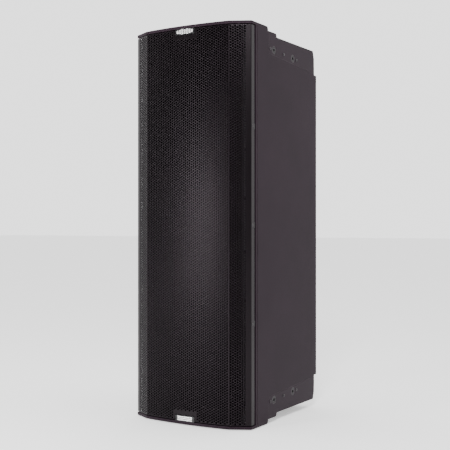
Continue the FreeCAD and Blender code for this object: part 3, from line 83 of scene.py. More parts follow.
def grain_group():
    """Grain, rounded edges, paler edges and slow blotches, all measured in metres on the object itself. An
    edge is paler where the rounded normal leaves the face's own, partly as wear and partly as a painted
    highlight, and the blotches break it up."""
    inputs = [("Grain per Metre", 900.0), ("Grain Depth", 0.0001), ("Blotches per Metre", 6.0)]
    outputs = [("Normal", "NodeSocketVector"), ("Edge", "NodeSocketFloat"), ("Blotch", "NodeSocketFloat"),
               ("Grain", "NodeSocketFloat")]
    tree, given, out = new_group("moulded_grain", inputs, outputs)
    grains, depth, blotches = given.outputs[:3]
    where = add_node(tree, "ShaderNodeTexCoord").outputs["Object"]
    fine = add_node(tree, "ShaderNodeTexNoise",
                    [("Vector", where), ("Scale", grains), ("Detail", 3.0)]).outputs[0]
    slow = add_node(tree, "ShaderNodeTexNoise",
                    [("Vector", where), ("Scale", blotches), ("Detail", 4.0)]).outputs[0]
    rounded = add_node(tree, "ShaderNodeBevel", [("Radius", ROUNDED_EDGE)], samples=EDGE_SAMPLES)
    wide = add_node(tree, "ShaderNodeBevel", [("Radius", WEAR_AND_HIGHLIGHT_EDGE)], samples=EDGE_SAMPLES)
    flat = add_node(tree, "ShaderNodeNewGeometry")
    dot = add_node(tree, "ShaderNodeVectorMath", [(0, wide.outputs[0]), (1, flat.outputs["True Normal"])],
                   operation="DOT_PRODUCT")
    edge = add_node(tree, "ShaderNodeMapRange", [("Value", dot.outputs["Value"]), ("From Min", WEAR_AND_HIGHLIGHT_FROM),
                                                 ("From Max", WEAR_AND_HIGHLIGHT_TO)])
    broken = add_node(tree, "ShaderNodeMath", [(0, edge.outputs[0]), (1, slow)], operation="MULTIPLY")
    bump = add_node(tree, "ShaderNodeBump", [("Height", fine), ("Distance", depth),
                                             ("Normal", rounded.outputs[0])])
    spread = add_node(tree, "ShaderNodeMapRange", [("Value", slow), ("From Min", BLOTCH_RANGE[0]),
                                                   ("From Max", BLOTCH_RANGE[1])])
    for label, source in (("Normal", bump.outputs[0]), ("Edge", broken.outputs[0]),
                          ("Blotch", spread.outputs[0]), ("Grain", fine)):
        tree.links.new(source, out.inputs[label])
    return tree


GRAIN = grain_group()


def finish(name, dark, light, wear_and_highlight, rough, grain=900.0, depth=0.0001, metallic=0.0, blotches=6.0, **sockets):
    """A material between two colours, paler along its edges partly as wear and partly as a painted
    highlight, its roughness between two values.
    """
    made = bpy.data.materials.new(name)
    made.use_nodes = True
    tree = made.node_tree
    shader = tree.nodes["Principled BSDF"]
    surface = add_node(tree, "ShaderNodeGroup", node_tree=GRAIN)
    for socket, value in zip(surface.inputs, (grain, depth, blotches)):
        socket.default_value = value
    body = add_node(tree, "ShaderNodeMix", [(MIX_FACTOR, surface.outputs["Blotch"]), (MIX_A, (*dark, 1)),
                                            (MIX_B, (*light, 1))], data_type="RGBA")
    whole = add_node(tree, "ShaderNodeMix", [(MIX_FACTOR, surface.outputs["Edge"]),
                                             (MIX_A, body.outputs[MIX_RESULT]), (MIX_B, (*wear_and_highlight, 1))],
                     data_type="RGBA")
    gloss = add_node(tree, "ShaderNodeMapRange",
                     [("Value", surface.outputs["Grain"]), ("From Min", GRAIN_RANGE[0]),
                      ("From Max", GRAIN_RANGE[1]), ("To Min", rough[0]), ("To Max", rough[1])])
    tree.links.new(whole.outputs[MIX_RESULT], shader.inputs["Base Color"])
    tree.links.new(gloss.outputs[0], shader.inputs["Roughness"])
    tree.links.new(surface.outputs["Normal"], shader.inputs["Normal"])
    shader.inputs["Metallic"].default_value = metallic
    for label, value in sockets.items():
        shader.inputs[label.replace("_", " ")].default_value = value
    return made


def dress(material, *names):
    """Gives carried-over nodes their material."""
    for name in names:
        node = nodes[name]
        if not node.material_slots:
            node.data.materials.append(material)
        for slot in node.material_slots:
            slot.material = material


moulding = finish("cabinet_moulding", dark=(0.012, 0.0062, 0.0105), light=(0.0145, 0.0078, 0.0127),
                  wear_and_highlight=(0.05, 0.037, 0.045), rough=(0.5, 0.62), grain=1100.0, depth=0.00012, blotches=9.0,
                  Specular_IOR_Level=0.08)
dress(moulding, "cabinet_shell", "back_panel", "base_block", "top_block")

# End saddles. A cast cover wraps each end of the cabinet and carries the rigging threads. Its textured paint
# is close to the moulding in colour, a shade lighter and a touch smoother.
saddle_paint = finish("saddle_paint", dark=(0.013, 0.0072, 0.0115), light=(0.0155, 0.0088, 0.0137),
                      wear_and_highlight=(0.055, 0.042, 0.05), rough=(0.48, 0.6), grain=1400.0, depth=0.00008,
                      blotches=12.0, Specular_IOR_Level=0.08)
dress(saddle_paint, "top_saddle", "bottom_saddle")

# Rigging inserts and fixings. The threaded inserts and all the screws are turned steel with a black oxide
# finish, fixed through the saddles, the panels and the sockets. Their edges are painted much paler, partly
# as wear and partly as a painted highlight.
oxide = finish("black_oxide", dark=(0.006, 0.005, 0.006), light=(0.011, 0.0095, 0.011),
               wear_and_highlight=(0.14, 0.13, 0.14), rough=(0.32, 0.45), grain=2400.0, depth=0.00002, metallic=0.6,
               blotches=80.0, Specular_IOR_Level=0.15)
dress(oxide, "rigging_inserts")
dress(oxide, "end_screws", "grille_screws", "front_screws", "rear_screws", "socket_screws")

# Rubber feet. Four turned pads of black rubber are pressed into their pockets under the cabinet. They are
# matte, and painted paler at the rim, partly as wear and partly as a painted highlight.
rubber = finish("foot_rubber", dark=(0.012, 0.012, 0.012), light=(0.02, 0.02, 0.02),
                wear_and_highlight=(0.06, 0.058, 0.055), rough=(0.75, 0.9), grain=700.0, depth=0.0001)
dress(rubber, "rubber_feet")

# Perforated grille. A steel sheet 1.5 mm thick is punched with staggered hexagons, folded into two facets,
# a bowed middle and two side flanges, and powder coated; margins stay plain at the folds and the badges.
SHEET = 0.0015
COLUMN = 0.00577  # from one column of holes to the next, on the facets
HALF_ROW = 0.00325  # half the distance between the holes of a column
CELL = 2  # half rows in the cell around a hole
HOLE = 0.00281  # from a hole's centre to its corners
HEXAGON = np.radians(np.arange(0, 360, 60))
MIDDLE_COLUMNS = 42
FACET_COLUMNS = 7
ROWS = 149  # half rows on either side of the sheet's middle
NOTCH = 145  # half rows from the middle of the sheet to a badge notch
NOTCH_COLUMNS = 5  # columns on either side of the middle that a badge notch cuts short
NOTCH_MARGIN = 2  # half rows left plain beside a notch
MARGIN = 0.00132  # left plain beside the bend
FACET_SHIFT = 0.0001  # how much wider that margin is on the facet
FOLD = 0.0014  # half the width of the fold between facet and flange
FOLD_STEPS = 8
PLAIN_STRIP = (0.006, 0.002)  # where the plain strip before the fold starts and ends, back from the corner
FLANGE_START = 0.004  # past the corner
BEND = (0.12218, -0.188536)  # where the bowed middle meets a facet, on the sheet's outer face
CORNER = (0.1705, -0.1629)  # where the facet meets the flange
BOW = 0.83718  # radius of the bowed middle
PATH_STEP = 0.0002
PATH_AVERAGE = 13  # steps averaged together, an odd number
ARC_POINTS = 400
grille_low, grille_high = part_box("grille")
middle_z = (grille_low.z + grille_high.z) / 2
FLANGE_END = grille_high.y
LEVELS = middle_z + np.concatenate([[-(grille_high.z - middle_z)], np.arange(-ROWS, ROWS + 1) * HALF_ROW,
                                    [grille_high.z - middle_z]])
NOTCH_LOW = 1 + ROWS - NOTCH
NOTCH_HIGH = 1 + ROWS + NOTCH


def sheet_path():
    """The sheet's outer face seen from above, from x = 0 to the end of the right flange: an arc, a straight
    facet and a straight flange, sampled every 0.2 mm and averaged over 2.6 mm so that both folds are softly
    rounded."""
    half_angle = math.asin(BEND[0] / BOW)
    angle = np.linspace(0, half_angle, ARC_POINTS)
    centre_y = BEND[1] + BOW * math.cos(half_angle)
    corners = np.stack([BOW * np.sin(angle), centre_y - BOW * np.cos(angle)], 1)
    corners = np.concatenate([corners, [CORNER, (CORNER[0], FLANGE_END)]])
    run = np.concatenate([[0], np.cumsum(np.linalg.norm(np.diff(corners, axis=0), axis=1))])
    along = np.arange(0, run[-1], PATH_STEP)
    raw = np.stack([np.interp(along, run, corners[:, k]) for k in (0, 1)], 1)
    spare = PATH_AVERAGE // 2
    both = np.concatenate([raw[:0:-1] * (-1, 1), raw, [corners[-1]] * (spare + 2)])
    window = np.ones(PATH_AVERAGE) / PATH_AVERAGE
    soft = np.stack([np.convolve(both[:, k], window, "same") for k in (0, 1)], 1)
    right_half = slice(len(raw) - 1, 2 * len(raw) - 1 - spare)
    return along[: len(raw) - spare], soft[right_half], run[ARC_POINTS - 1], run[ARC_POINTS]


PATH_RUN, PATH_XY, TO_BEND, TO_CORNER = sheet_path()


def on_sheet(u, z, depth):
    """The point at run u along the sheet (negative to the left), at height z, and a depth behind the outer
    face along the normal of the path there."""
    run = np.abs(u)
    x, y = (np.interp(run, PATH_RUN, PATH_XY[:, k]) for k in (0, 1))
    step = 2 * PATH_STEP
    dx, dy = (np.interp(run + step, PATH_RUN, PATH_XY[:, k]) - np.interp(run - step, PATH_RUN, PATH_XY[:, k])
              for k in (0, 1))
    dx = np.where(run < step, 1.0, dx)
    dy = np.where(run < step, 0.0, dy)
    length = np.hypot(dx, dy)
    nx, ny = -dy / length, dx / length
    return np.stack([np.sign(u) * (x + nx * depth), y + ny * depth, z], -1)


def add_piece(name, verts, faces, body, material, slot, smooth=False):
    """A mesh piece that rides on a body and takes the given material. Its slot argument is not used."""
    mesh = bpy.data.meshes.new(name)
    mesh.from_pydata(np.asarray(verts).reshape(-1, 3).tolist(), [], faces)
    mesh.validate()
    mesh.materials.append(material)
    piece = bpy.data.objects.new(name, mesh)
    bpy.context.scene.collection.objects.link(piece)
    if smooth:
        mesh.shade_smooth()
    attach(piece, body)
    return piece


def cell_fan(i, j):
    """Numbers of the six lattice corners around cells whose lower left corner is column i, level j."""
    return np.stack([(i + 1, j + 1), (i + 1, j + 2), (i, j + 2), (i, j + 1), (i, j), (i + 1, j)], 0)


def perforated(u_edges, punched, blank):
    """Vertices and faces of one stretch of the sheet. The lattice is column edges by half rows; each punched
    cell is a ring of six quads from its corners to its hexagonal hole, on both faces, with the hole's wall
    between. punched holds the (i, j) of cells' lower left corners, blank that of plain half-row quads."""
    count = len(LEVELS)
    U, Z = np.meshgrid(u_edges, LEVELS, indexing="ij")
    front = on_sheet(U.ravel(), Z.ravel(), 0.0)
    back = on_sheet(U.ravel(), Z.ravel(), SHEET)
    lattice = len(front)
    i, j = punched.T
    ring = cell_fan(i, j)
    corners = (ring[:, 0] * count + ring[:, 1]).T
    centre_u = (u_edges[i] + u_edges[i + 1]) / 2
    centre_z = LEVELS[j + 1]
    hu = centre_u[:, None] + HOLE * np.cos(HEXAGON)
    hz = centre_z[:, None] + HOLE * np.sin(HEXAGON)
    hole_front = on_sheet(hu.ravel(), hz.ravel(), 0.0)
    hole_back = on_sheet(hu.ravel(), hz.ravel(), SHEET)
    verts = np.concatenate([front, back, hole_front, hole_back])
    sides = len(HEXAGON)
    first = 2 * lattice + np.arange(len(i))[:, None] * sides + np.arange(sides)
    behind = first + len(i) * sides
    turn = np.roll(np.arange(sides), -1)
    rings = [
        np.stack([corners, corners[:, turn], first[:, turn], first], -1),
        np.stack([corners + lattice, behind, behind[:, turn], corners[:, turn] + lattice], -1),
        np.stack([first, first[:, turn], behind[:, turn], behind], -1),
    ]
    bi, bj = blank.T
    lower_left = bi * count + bj
    lower_right = (bi + 1) * count + bj
    quad = np.stack([lower_left, lower_right, lower_right + 1, lower_left + 1], -1)
    quads = [r.reshape(-1, 4) for r in rings] + [quad, quad[:, ::-1] + lattice]
    faces = np.concatenate(quads)
    # The open edges of the front are joined to those of the back.
    outer = np.concatenate([rings[0].reshape(-1, 4), quad])
    edges = np.stack([outer, np.roll(outer, -1, axis=1)], -1).reshape(-1, 2)
    key = np.sort(edges, axis=1)
    _, index, times = np.unique(key, axis=0, return_index=True, return_counts=True)
    rim = edges[index[times == 1]]
    rim = rim[(rim < lattice).all(axis=1)]
    wall = np.stack([rim[:, 1], rim[:, 0], rim[:, 0] + lattice, rim[:, 1] + lattice], -1)
    faces = np.concatenate([faces, wall])
    used, compact = np.unique(faces, return_inverse=True)
    return verts[used], compact.reshape(-1, 4).tolist()


def stretch(edges, first_column, punched_columns, notched):
    """Which cells of a stretch are punched and which half-row quads are plain. Odd columns start half a row
    lower. The first columns, as many as notched, end at the badge notches; they and the next column keep a
    plain margin there."""
    punched, blank = [], []
    for i in range(len(edges) - 1):
        low, high = (NOTCH_LOW, NOTCH_HIGH) if i < notched else (0, len(LEVELS) - 1)
        cells = np.arange(1 if (first_column + i) % 2 else 2, len(LEVELS) - 3, CELL)
        if notched and i <= notched:
            cells = cells[(cells > NOTCH_LOW + NOTCH_MARGIN) & (cells + CELL < NOTCH_HIGH - NOTCH_MARGIN)]
        if i not in punched_columns:
            cells = cells[:0]
        punched += [(i, j) for j in cells]
        holed = set(cells) | set(cells + 1)
        blank += [(i, j) for j in range(low, high) if j not in holed]
    return np.array(punched, int).reshape(-1, 2), np.array(blank, int).reshape(-1, 2)


half_columns = MIDDLE_COLUMNS // 2
middle_step = (TO_BEND - MARGIN) * 2 / MIDDLE_COLUMNS
middle_edges = np.concatenate([np.arange(0, half_columns + 1) * middle_step, [TO_BEND]])
facet_start = TO_BEND + MARGIN + FACET_SHIFT
facet_edges = np.concatenate([[TO_BEND, facet_start],
                              facet_start + np.arange(1, FACET_COLUMNS + 1) * COLUMN,
                              np.linspace(TO_CORNER - PLAIN_STRIP[0], TO_CORNER - PLAIN_STRIP[1], 3),
                              np.linspace(TO_CORNER - FOLD, TO_CORNER + FOLD, FOLD_STEPS),
                              [TO_CORNER + FLANGE_START, PATH_RUN[-1]]])
coat = finish("powder_coat", dark=(0.0008, 0.0004, 0.0007), light=(0.0013, 0.0007, 0.0011),
              wear_and_highlight=(0.012, 0.008, 0.011), rough=(0.26, 0.34), grain=1800.0, depth=0.00005,
              Specular_IOR_Level=0.16, Specular_Tint=(1.0, 0.86, 0.95, 1.0))
for side, word in ((1, "right"), (-1, "left")):
    for part, edges, columns, notched in (
        ("middle", middle_edges, range(half_columns), NOTCH_COLUMNS),
        ("facet", facet_edges, range(1, FACET_COLUMNS + 1), 0),
    ):
        punched, blank = stretch(edges, 0 if side > 0 else 1, columns, notched)
        verts, faces = perforated(edges, punched, blank)
        if side < 0:
            verts = verts * (-1, 1, 1)
            faces = [face[::-1] for face in faces]
        piece = add_piece(f"grille_{part}_{word}", verts, faces, "cabinet", coat, "grille_steel")
        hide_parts("grille")

# Acoustic foam. A sheet of black open-cell foam is stretched behind the grille; it hides the drivers and
# lets the sound through. It shows in the holes, so it is modelled with its soft, slightly uneven face.
FOAM_GAP = 0.0021
FOAM_THICK = 0.0038
FOAM_FACE = FOAM_GAP + 0.0004
FOAM_REACH = 0.155
FOAM_INSET = 0.004
SWELL = 0.0003
SWELL_ACROSS, SWELL_UP = 130, 90  # radians per metre
FOAM_COLUMNS, FOAM_ROWS = 125, 200
BADGE_HALF_WIDTH = 0.034
BADGE_FROM_MIDDLE = 0.4655
BADGE_CLEARANCE = 0.003


def foam_sheet():
    """The grille's path carried on behind the sheet, as far as the posts. Its front face swells by the
    product of two sines, and the whole sheet steps back behind both badges."""
    run = np.linspace(-FOAM_REACH, FOAM_REACH, FOAM_COLUMNS)
    high = np.linspace(grille_low.z + FOAM_INSET, grille_high.z - FOAM_INSET, FOAM_ROWS)
    U, Z = np.meshgrid(run, high, indexing="ij")
    swell = SWELL * np.sin(U * SWELL_ACROSS) * np.sin(Z * SWELL_UP)
    near_badge = (np.abs(U) < BADGE_HALF_WIDTH) & (np.abs(Z - middle_z) > BADGE_FROM_MIDDLE)
    step_back = near_badge.ravel() * BADGE_CLEARANCE
    front = on_sheet(U.ravel(), Z.ravel(), FOAM_FACE + swell.ravel() + step_back)
    back = on_sheet(U.ravel(), Z.ravel(), np.full(U.size, FOAM_GAP + FOAM_THICK) + step_back)
    index = np.arange(U.size).reshape(U.shape)
    quad = np.stack([index[:-1, :-1], index[1:, :-1], index[1:, 1:], index[:-1, 1:]], -1).reshape(-1, 4)
    ring = np.concatenate([index[:, 0], index[-1, 1:], index[-2::-1, -1], index[0, -2:0:-1]])
    after = np.roll(ring, -1)
    wall = np.stack([after, ring, ring + U.size, after + U.size], -1)
    return np.concatenate([front, back]), np.concatenate([quad, quad[:, ::-1] + U.size, wall]).tolist()


foam = finish("acoustic_foam", dark=(0.0001, 0.0001, 0.0001), light=(0.0002, 0.0002, 0.0002),
              wear_and_highlight=(0.0003, 0.0003, 0.0003), rough=(0.9, 1.0), grain=500.0, depth=0.0008,
              Specular_IOR_Level=0.0)
foam_piece = add_piece("foam_behind_grille", *foam_sheet(), "cabinet", foam, "foam", smooth=True)
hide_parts("grille_foam")
dress(foam, "damping_foam")

# Badges. A satin black plate sits in each notch of the grille, with a plain raised mark in bright satin
# metal: a rising and falling row of bars above, and three flat bars below.
badge_black = finish("badge_black", dark=(0.006, 0.006, 0.007), light=(0.009, 0.009, 0.01),
                     wear_and_highlight=(0.05, 0.05, 0.05), rough=(0.22, 0.3), grain=1500.0, depth=0.00001)
badge_bright = finish("badge_bright", dark=(0.72, 0.71, 0.7), light=(0.82, 0.81, 0.8),
                      wear_and_highlight=(0.95, 0.95, 0.95), rough=(0.25, 0.35), grain=4000.0, depth=0.00001, metallic=0.6)
dress(badge_black, "badge_plates")
dress(badge_bright, "badge_marks")

# Baffle, ports and horn. The board behind the grille, its inner braces, the four reflex tubes and the horn
# are moulded in black plastic, with a dull grain much like the cabinet's.
black_moulding = finish("black_moulding", dark=(0.007, 0.007, 0.008), light=(0.012, 0.012, 0.013),
                        wear_and_highlight=(0.04, 0.04, 0.042), rough=(0.5, 0.65), grain=1000.0, depth=0.0001)
dress(black_moulding, "front_baffle", "internal_braces", "port_tubes", "horn_waveguide")

# Woofers. A cast frame carries a pressed paper cone with a rubber edge, on a moulded gasket. Behind it are
# the cloth spider, the copper coil and a ferrite ring between two zinc-plated steel parts.
cast = finish("painted_casting", dark=(0.012, 0.012, 0.013), light=(0.02, 0.02, 0.021),
              wear_and_highlight=(0.15, 0.15, 0.15), rough=(0.4, 0.55), grain=900.0, depth=0.0002)
dress(cast, "upper_woofer_basket", "lower_woofer_basket")
paper = finish("pressed_paper", dark=(0.011, 0.011, 0.011), light=(0.022, 0.021, 0.02),
               wear_and_highlight=(0.03, 0.03, 0.03), rough=(0.7, 0.9), grain=450.0, depth=0.0005)
dress(paper, *[f"{end}_woofer_{piece}" for end in ("upper", "lower") for piece in ("cone", "dust_cap")])
cloth = finish("spider_cloth", dark=(0.42, 0.28, 0.07), light=(0.55, 0.38, 0.12), wear_and_highlight=(0.6, 0.45, 0.2),
               rough=(0.7, 0.85), grain=1600.0, depth=0.0003)
dress(cloth, "upper_woofer_spider", "lower_woofer_spider")
copper = finish("coil_copper", dark=(0.6, 0.25, 0.1), light=(0.75, 0.35, 0.16), wear_and_highlight=(0.9, 0.5, 0.3),
                rough=(0.25, 0.4), grain=3000.0, depth=0.00005, metallic=1.0)
dress(copper, "upper_woofer_voice_coil", "lower_woofer_voice_coil")
zinc = finish("dull_zinc", dark=(0.25, 0.245, 0.24), light=(0.36, 0.355, 0.35), wear_and_highlight=(0.6, 0.6, 0.6),
              rough=(0.3, 0.45), grain=2600.0, depth=0.00002, metallic=1.0, blotches=60.0)
dress(zinc, "woofer_front_plates", "woofer_pole_pieces")
ferrite = finish("ferrite", dark=(0.025, 0.025, 0.027), light=(0.045, 0.045, 0.048),
                 wear_and_highlight=(0.09, 0.09, 0.09), rough=(0.55, 0.75), grain=600.0, depth=0.0002)
dress(ferrite, "woofer_magnets")
dress(rubber, "upper_woofer_surround", "lower_woofer_surround")
dress(black_moulding, "woofer_gaskets")

# Compression driver. Its body and rear cover are painted castings, fixed to the throat of the horn. Inside,
# the phase plug is a glossy moulding, and the diaphragm a thin dome of satin titanium.
dress(cast, "driver_body", "driver_rear_cover")
plug = finish("plug_plastic", dark=(0.01, 0.01, 0.01), light=(0.015, 0.015, 0.015), wear_and_highlight=(0.03, 0.03, 0.03),
              rough=(0.25, 0.35))
dress(plug, "driver_phase_plug")
titanium = finish("titanium_foil", dark=(0.45, 0.43, 0.4), light=(0.55, 0.53, 0.5), wear_and_highlight=(0.7, 0.7, 0.7),
                  rough=(0.25, 0.4), grain=2500.0, depth=0.00003, metallic=1.0)
dress(titanium, "driver_diaphragm")

# Amplifier panel. An extruded aluminium plate, anodised black, with upright fins on its upper half, sits on
# a rubber gasket; boards on a zinc-plated tray stand behind it. Its legends are printed: a scale of ticks
# around each knob, and a thin frame around each group of sockets.
anodised = finish("black_anodised", dark=(0.012, 0.012, 0.013), light=(0.018, 0.018, 0.02),
                  wear_and_highlight=(0.3, 0.3, 0.31), rough=(0.35, 0.5), grain=2200.0, depth=0.00004, metallic=0.5)
dress(anodised, "amp_panel", "heat_sink")
dress(zinc, "amp_tray")
dress(rubber, "amp_gasket")
board_green = finish("circuit_board", dark=(0.01, 0.09, 0.03), light=(0.015, 0.13, 0.045),
                     wear_and_highlight=(0.3, 0.3, 0.2), rough=(0.3, 0.5), grain=500.0, depth=0.0002)
dress(board_green, "circuit_boards")
PANEL_THICK = 0.0041
PRINT = 0.00012
LINE = 0.00025  # half the width of a printed line
TICK, END_TICK = 0.0011, 0.0017  # half lengths
DIAL_RADIUS = 0.0123
DIALS = ((0.082, 11, 150), (0.04, 9, 135), (-0.002, 9, 135))  # place across, ticks, degrees either way
DIAL_DROP = 0.058
OUTLINES = (  # left and right side, then how far bottom and top lie below the panel's middle
    (0.028, 0.102, 0.182, 0.138),
    (-0.096, -0.022, 0.182, 0.138),
    (-0.004, 0.085, 0.122, 0.098),
)
panel_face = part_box("amp_gasket")[1].y + PANEL_THICK
panel_middle = (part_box("amp_panel")[0].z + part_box("amp_panel")[1].z) / 2
print_white = finish("printed_white", dark=(0.55, 0.55, 0.55), light=(0.65, 0.65, 0.65),
                     wear_and_highlight=(0.7, 0.7, 0.7), rough=(0.5, 0.6), grain=3000.0, depth=0.00001)


def slabs(centres, half_sizes, angles):
    """Thin printed bars on the panel's face, each a closed box turned about the panel's normal."""
    corner = np.array([(x, y, z) for z in (-1, 1) for x, y in ((-1, 0), (1, 0), (1, 1), (-1, 1))], float)
    faces = np.array([(0, 1, 2, 3), (7, 6, 5, 4), (1, 0, 4, 5), (2, 1, 5, 6), (3, 2, 6, 7), (0, 3, 7, 4)])
    x = corner[:, 0] * half_sizes[:, :1]
    z = corner[:, 2] * half_sizes[:, 1:]
    cos, sin = np.cos(angles)[:, None], np.sin(angles)[:, None]
    verts = np.stack([centres[:, :1] + x * cos - z * sin, panel_face + corner[:, 1] * PRINT + 0 * x,
                      centres[:, 1:] + x * sin + z * cos], -1)
    offset = np.arange(len(centres))[:, None, None] * len(corner)
    return verts.reshape(-1, 3), (faces[None] + offset).reshape(-1, 4).tolist()


def dial_ticks(across, count, reach):
    """Ticks fanned evenly around a knob, longest at both ends."""
    angle = np.radians(90 + np.linspace(reach, -reach, count))
    tick = np.full(count, TICK)
    tick[[0, -1]] = END_TICK
    centres = np.stack([across + DIAL_RADIUS * np.cos(angle),
                        panel_middle - DIAL_DROP + DIAL_RADIUS * np.sin(angle)], 1)
    return centres, np.stack([tick, np.full(count, LINE)], 1), angle


def frame_lines(left, right, low_drop, high_drop):
    """Four thin lines around a group of sockets, between two sides and two drops from the panel's middle."""
    low, high = panel_middle - low_drop, panel_middle - high_drop
    across, up = (left + right) / 2, (low + high) / 2
    centres = np.array([(across, low), (across, high), (left, up), (right, up)])
    sizes = np.array([((right - left) / 2, LINE)] * 2 + [(LINE, (high - low) / 2)] * 2)
    return centres, sizes, np.zeros(4)


prints = [dial_ticks(*dial) for dial in DIALS] + [frame_lines(*outline) for outline in OUTLINES]
add_piece("panel_print", *slabs(*[np.concatenate(group) for group in zip(*prints)]), "cabinet", print_white,
          "badge_bright")

# Sockets, knobs and switch. The sockets are matte black mouldings with plated contacts. The knobs, the
# rocker and the release tab are a softer grey plastic, and the status lights are small glowing green lenses.
socket_plastic = finish("socket_plastic", dark=(0.01, 0.01, 0.011), light=(0.016, 0.016, 0.017),
                        wear_and_highlight=(0.06, 0.06, 0.06), rough=(0.4, 0.55), grain=1500.0, depth=0.00006)
dress(socket_plastic, "mains_sockets", "line_input_socket", "line_link_socket", "data_sockets",
      "power_switch_bezel")
soft_grey = finish("soft_grey", dark=(0.06, 0.06, 0.062), light=(0.08, 0.08, 0.082), wear_and_highlight=(0.2, 0.2, 0.2),
                   rough=(0.5, 0.62), grain=1300.0, depth=0.00006)
dress(soft_grey, "level_knob", "preset_knob_coverage", "preset_knob_coupling", "power_rocker",
      "line_input_latch")
plated = finish("plated_contact", dark=(0.75, 0.6, 0.3), light=(0.85, 0.7, 0.38), wear_and_highlight=(0.95, 0.85, 0.6),
                rough=(0.15, 0.25), metallic=1.0)
PIN_SIDES = 12
PIN_LENGTH = 0.0135
PIN_START = 0.0172  # how far behind the panel's face the pins start
TIP_STEP, TIP_WIDTH = 0.3, 0.7  # of a pin's radius
LINE_PIN, MAINS_PIN = 0.0013, 0.0017  # radii
SOCKET_DROP = 0.16  # the sockets' centres, below the panel's middle
LINE_SOCKETS = (0.084, 0.046)
LINE_PINS = ((0.0045, -0.0026), (-0.0045, -0.0026), (0, 0.0052))
MAINS_SOCKETS = (-0.078, -0.04)
MAINS_PINS = ((0.005, 0), (-0.005, 0), (0, -0.005))


def pins(sockets, layout, radius):
    """Round pins along Y, one at each place of the layout in each socket: a profile of radii at given
    depths, carried round a circle and closed by its centre line at both ends."""
    spots = [(x + px, panel_middle - SOCKET_DROP + pz) for x in sockets for px, pz in layout]
    steps = np.linspace(0, 2 * np.pi, PIN_SIDES, endpoint=False)
    depth = np.array([0, 0, PIN_LENGTH - radius, PIN_LENGTH - radius * TIP_STEP, PIN_LENGTH])
    width = np.array([0, 1, 1, TIP_WIDTH, 0]) * radius
    ring = np.stack([width[:, None] * np.cos(steps), panel_face - PIN_START + depth[:, None] + 0 * steps,
                     width[:, None] * np.sin(steps)], -1)
    index = np.arange(depth.size * PIN_SIDES).reshape(-1, PIN_SIDES)
    side = np.roll(index, -1, axis=1)
    quad = np.stack([index[:-1], index[1:], side[1:], side[:-1]], -1).reshape(-1, 4)
    verts = ring.reshape(1, -1, 3) + np.array([(x, 0, z) for x, z in spots])[:, None]
    faces = (quad[None] + (np.arange(len(spots)) * index.size)[:, None, None]).reshape(-1, 4)
    return verts.reshape(-1, 3), faces.tolist()


add_piece("line_contacts", *pins(LINE_SOCKETS, LINE_PINS, LINE_PIN), "cabinet", plated, "sheet_steel")
add_piece("mains_contacts", *pins(MAINS_SOCKETS, MAINS_PINS, MAINS_PIN), "cabinet", plated, "sheet_steel")
lens = finish("status_lens", dark=(0.02, 0.35, 0.08), light=(0.03, 0.45, 0.1), wear_and_highlight=(0.1, 0.6, 0.2),
              rough=(0.1, 0.15), depth=0.00001, Emission_Strength=0.8, Emission_Color=(0.05, 0.8, 0.2, 1))
dress(lens, "status_leds")

# Handles. Each is a moulded cup with a grip across it, screwed into the back panel, in a tough black plastic
# whose edges are painted paler, partly as wear from use and partly as a painted highlight.
handle_plastic = finish("handle_plastic", dark=(0.009, 0.008, 0.009), light=(0.015, 0.013, 0.015),
                        wear_and_highlight=(0.07, 0.065, 0.07), rough=(0.4, 0.58), grain=800.0, depth=0.00015)
dress(handle_plastic, "upper_handle", "lower_handle")

# Studio. A plain pale floor, which glows faintly, runs back to a pale sky. The sky gives little light from
# ahead of the object, as a dark studio does, and two soft lights stand there: a strong one high on the
# right, and a weaker one low on the left.
FLOOR_REACH = 30
FLOOR_COLOUR = (0.93, 0.93, 0.93, 1)
FLOOR_ROUGHNESS = 0.9
FLOOR_GLOW = 0.5
AHEAD = (0.25, -0.96, 0.1)
WHITE = (1, 1, 1, 1)
SKY_BEHIND, SKY_AHEAD = 2.1, 0.02
DIM_FROM, DIM_TO = 0.0, 0.65  # cosines of the angle from straight ahead
BACKDROP = 2.2
floor_mesh = bpy.data.meshes.new("floor")
floor_corners = [(x * FLOOR_REACH, y * FLOOR_REACH, 0) for x, y in ((-1, -1), (1, -1), (1, 1), (-1, 1))]
floor_mesh.from_pydata(floor_corners, [], [(0, 1, 2, 3)])
floor = bpy.data.objects.new("floor", floor_mesh)
bpy.context.scene.collection.objects.link(floor)
pale = bpy.data.materials.new("pale_floor")
pale.use_nodes = True
pale_shader = pale.node_tree.nodes["Principled BSDF"]
pale_shader.inputs["Base Color"].default_value = FLOOR_COLOUR
pale_shader.inputs["Roughness"].default_value = FLOOR_ROUGHNESS
pale_shader.inputs["Emission Color"].default_value = WHITE
pale_shader.inputs["Emission Strength"].default_value = FLOOR_GLOW
floor_mesh.materials.append(pale)
world = bpy.data.worlds.new("studio")
bpy.context.scene.world = world
world.use_nodes = True
sky = world.node_tree
way_out = add_node(sky, "ShaderNodeTexCoord").outputs["Generated"]
ahead = add_node(sky, "ShaderNodeVectorMath", [(0, way_out), (1, AHEAD)], operation="DOT_PRODUCT")
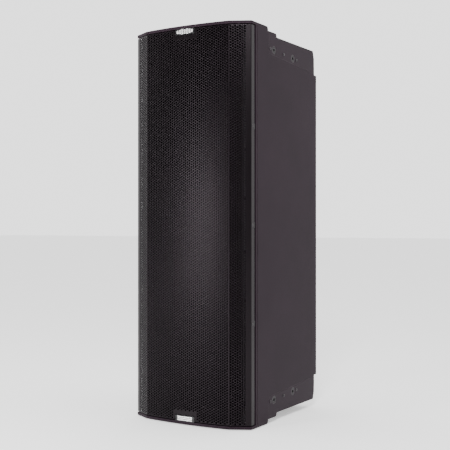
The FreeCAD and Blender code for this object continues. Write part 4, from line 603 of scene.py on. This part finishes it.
dimmed = add_node(sky, "ShaderNodeMapRange",
                  [("Value", ahead.outputs["Value"]), ("From Min", DIM_FROM), ("From Max", DIM_TO),
                   ("To Min", SKY_BEHIND), ("To Max", SKY_AHEAD)], interpolation_type="SMOOTHSTEP")
lighting = add_node(sky, "ShaderNodeBackground", [("Color", WHITE), ("Strength", dimmed.outputs[0])])
backdrop = add_node(sky, "ShaderNodeBackground", [("Color", WHITE), ("Strength", BACKDROP)])
seen = add_node(sky, "ShaderNodeLightPath").outputs["Is Camera Ray"]
mixed = add_node(sky, "ShaderNodeMixShader", [(0, seen), (1, lighting.outputs[0]), (2, backdrop.outputs[0])])
sky.links.new(mixed.outputs[0], sky.nodes["World Output"].inputs["Surface"])


def soft_light(name, place, aim, size, power):
    """A rectangular area light at a place, turned so that its face looks at the aim."""
    data = bpy.data.lights.new(name, "AREA")
    data.shape = "RECTANGLE"
    data.size, data.size_y = size
    data.energy = power
    made = bpy.data.objects.new(name, data)
    bpy.context.scene.collection.objects.link(made)
    way = np.subtract(aim, place)
    made.location = place
    tilt = math.atan2(np.hypot(way[0], way[1]), -way[2])
    made.rotation_euler = (tilt, 0, math.atan2(way[1], way[0]) - math.pi / 2)


soft_light("front_right", place=(1.2, -2.35, 2.3), aim=(0, -0.1, 0.8), size=(0.6, 0.6), power=110)
soft_light("front_left", place=(-1.1, -2.5, 0.5), aim=(0, -0.1, 0.5), size=(0.6, 0.7), power=60)

# Camera. It stands level with the middle of the column, 2.4 metres away, ahead of it and to its right, and
# looks straight at it through a long lens.
SENSOR, LENS = 36, 71.8  # millimetres
CAMERA_PLACE = (1.2432, -2.0444, 0.496)
CAMERA_TURN = math.radians(31.37)
camera_data = bpy.data.cameras.new("camera")
camera_data.sensor_width = SENSOR
camera_data.lens = LENS
camera = bpy.data.objects.new("camera", camera_data)
bpy.context.scene.collection.objects.link(camera)
camera.location = CAMERA_PLACE
camera.rotation_euler = (math.pi / 2, 0, CAMERA_TURN)
bpy.context.scene.camera = camera
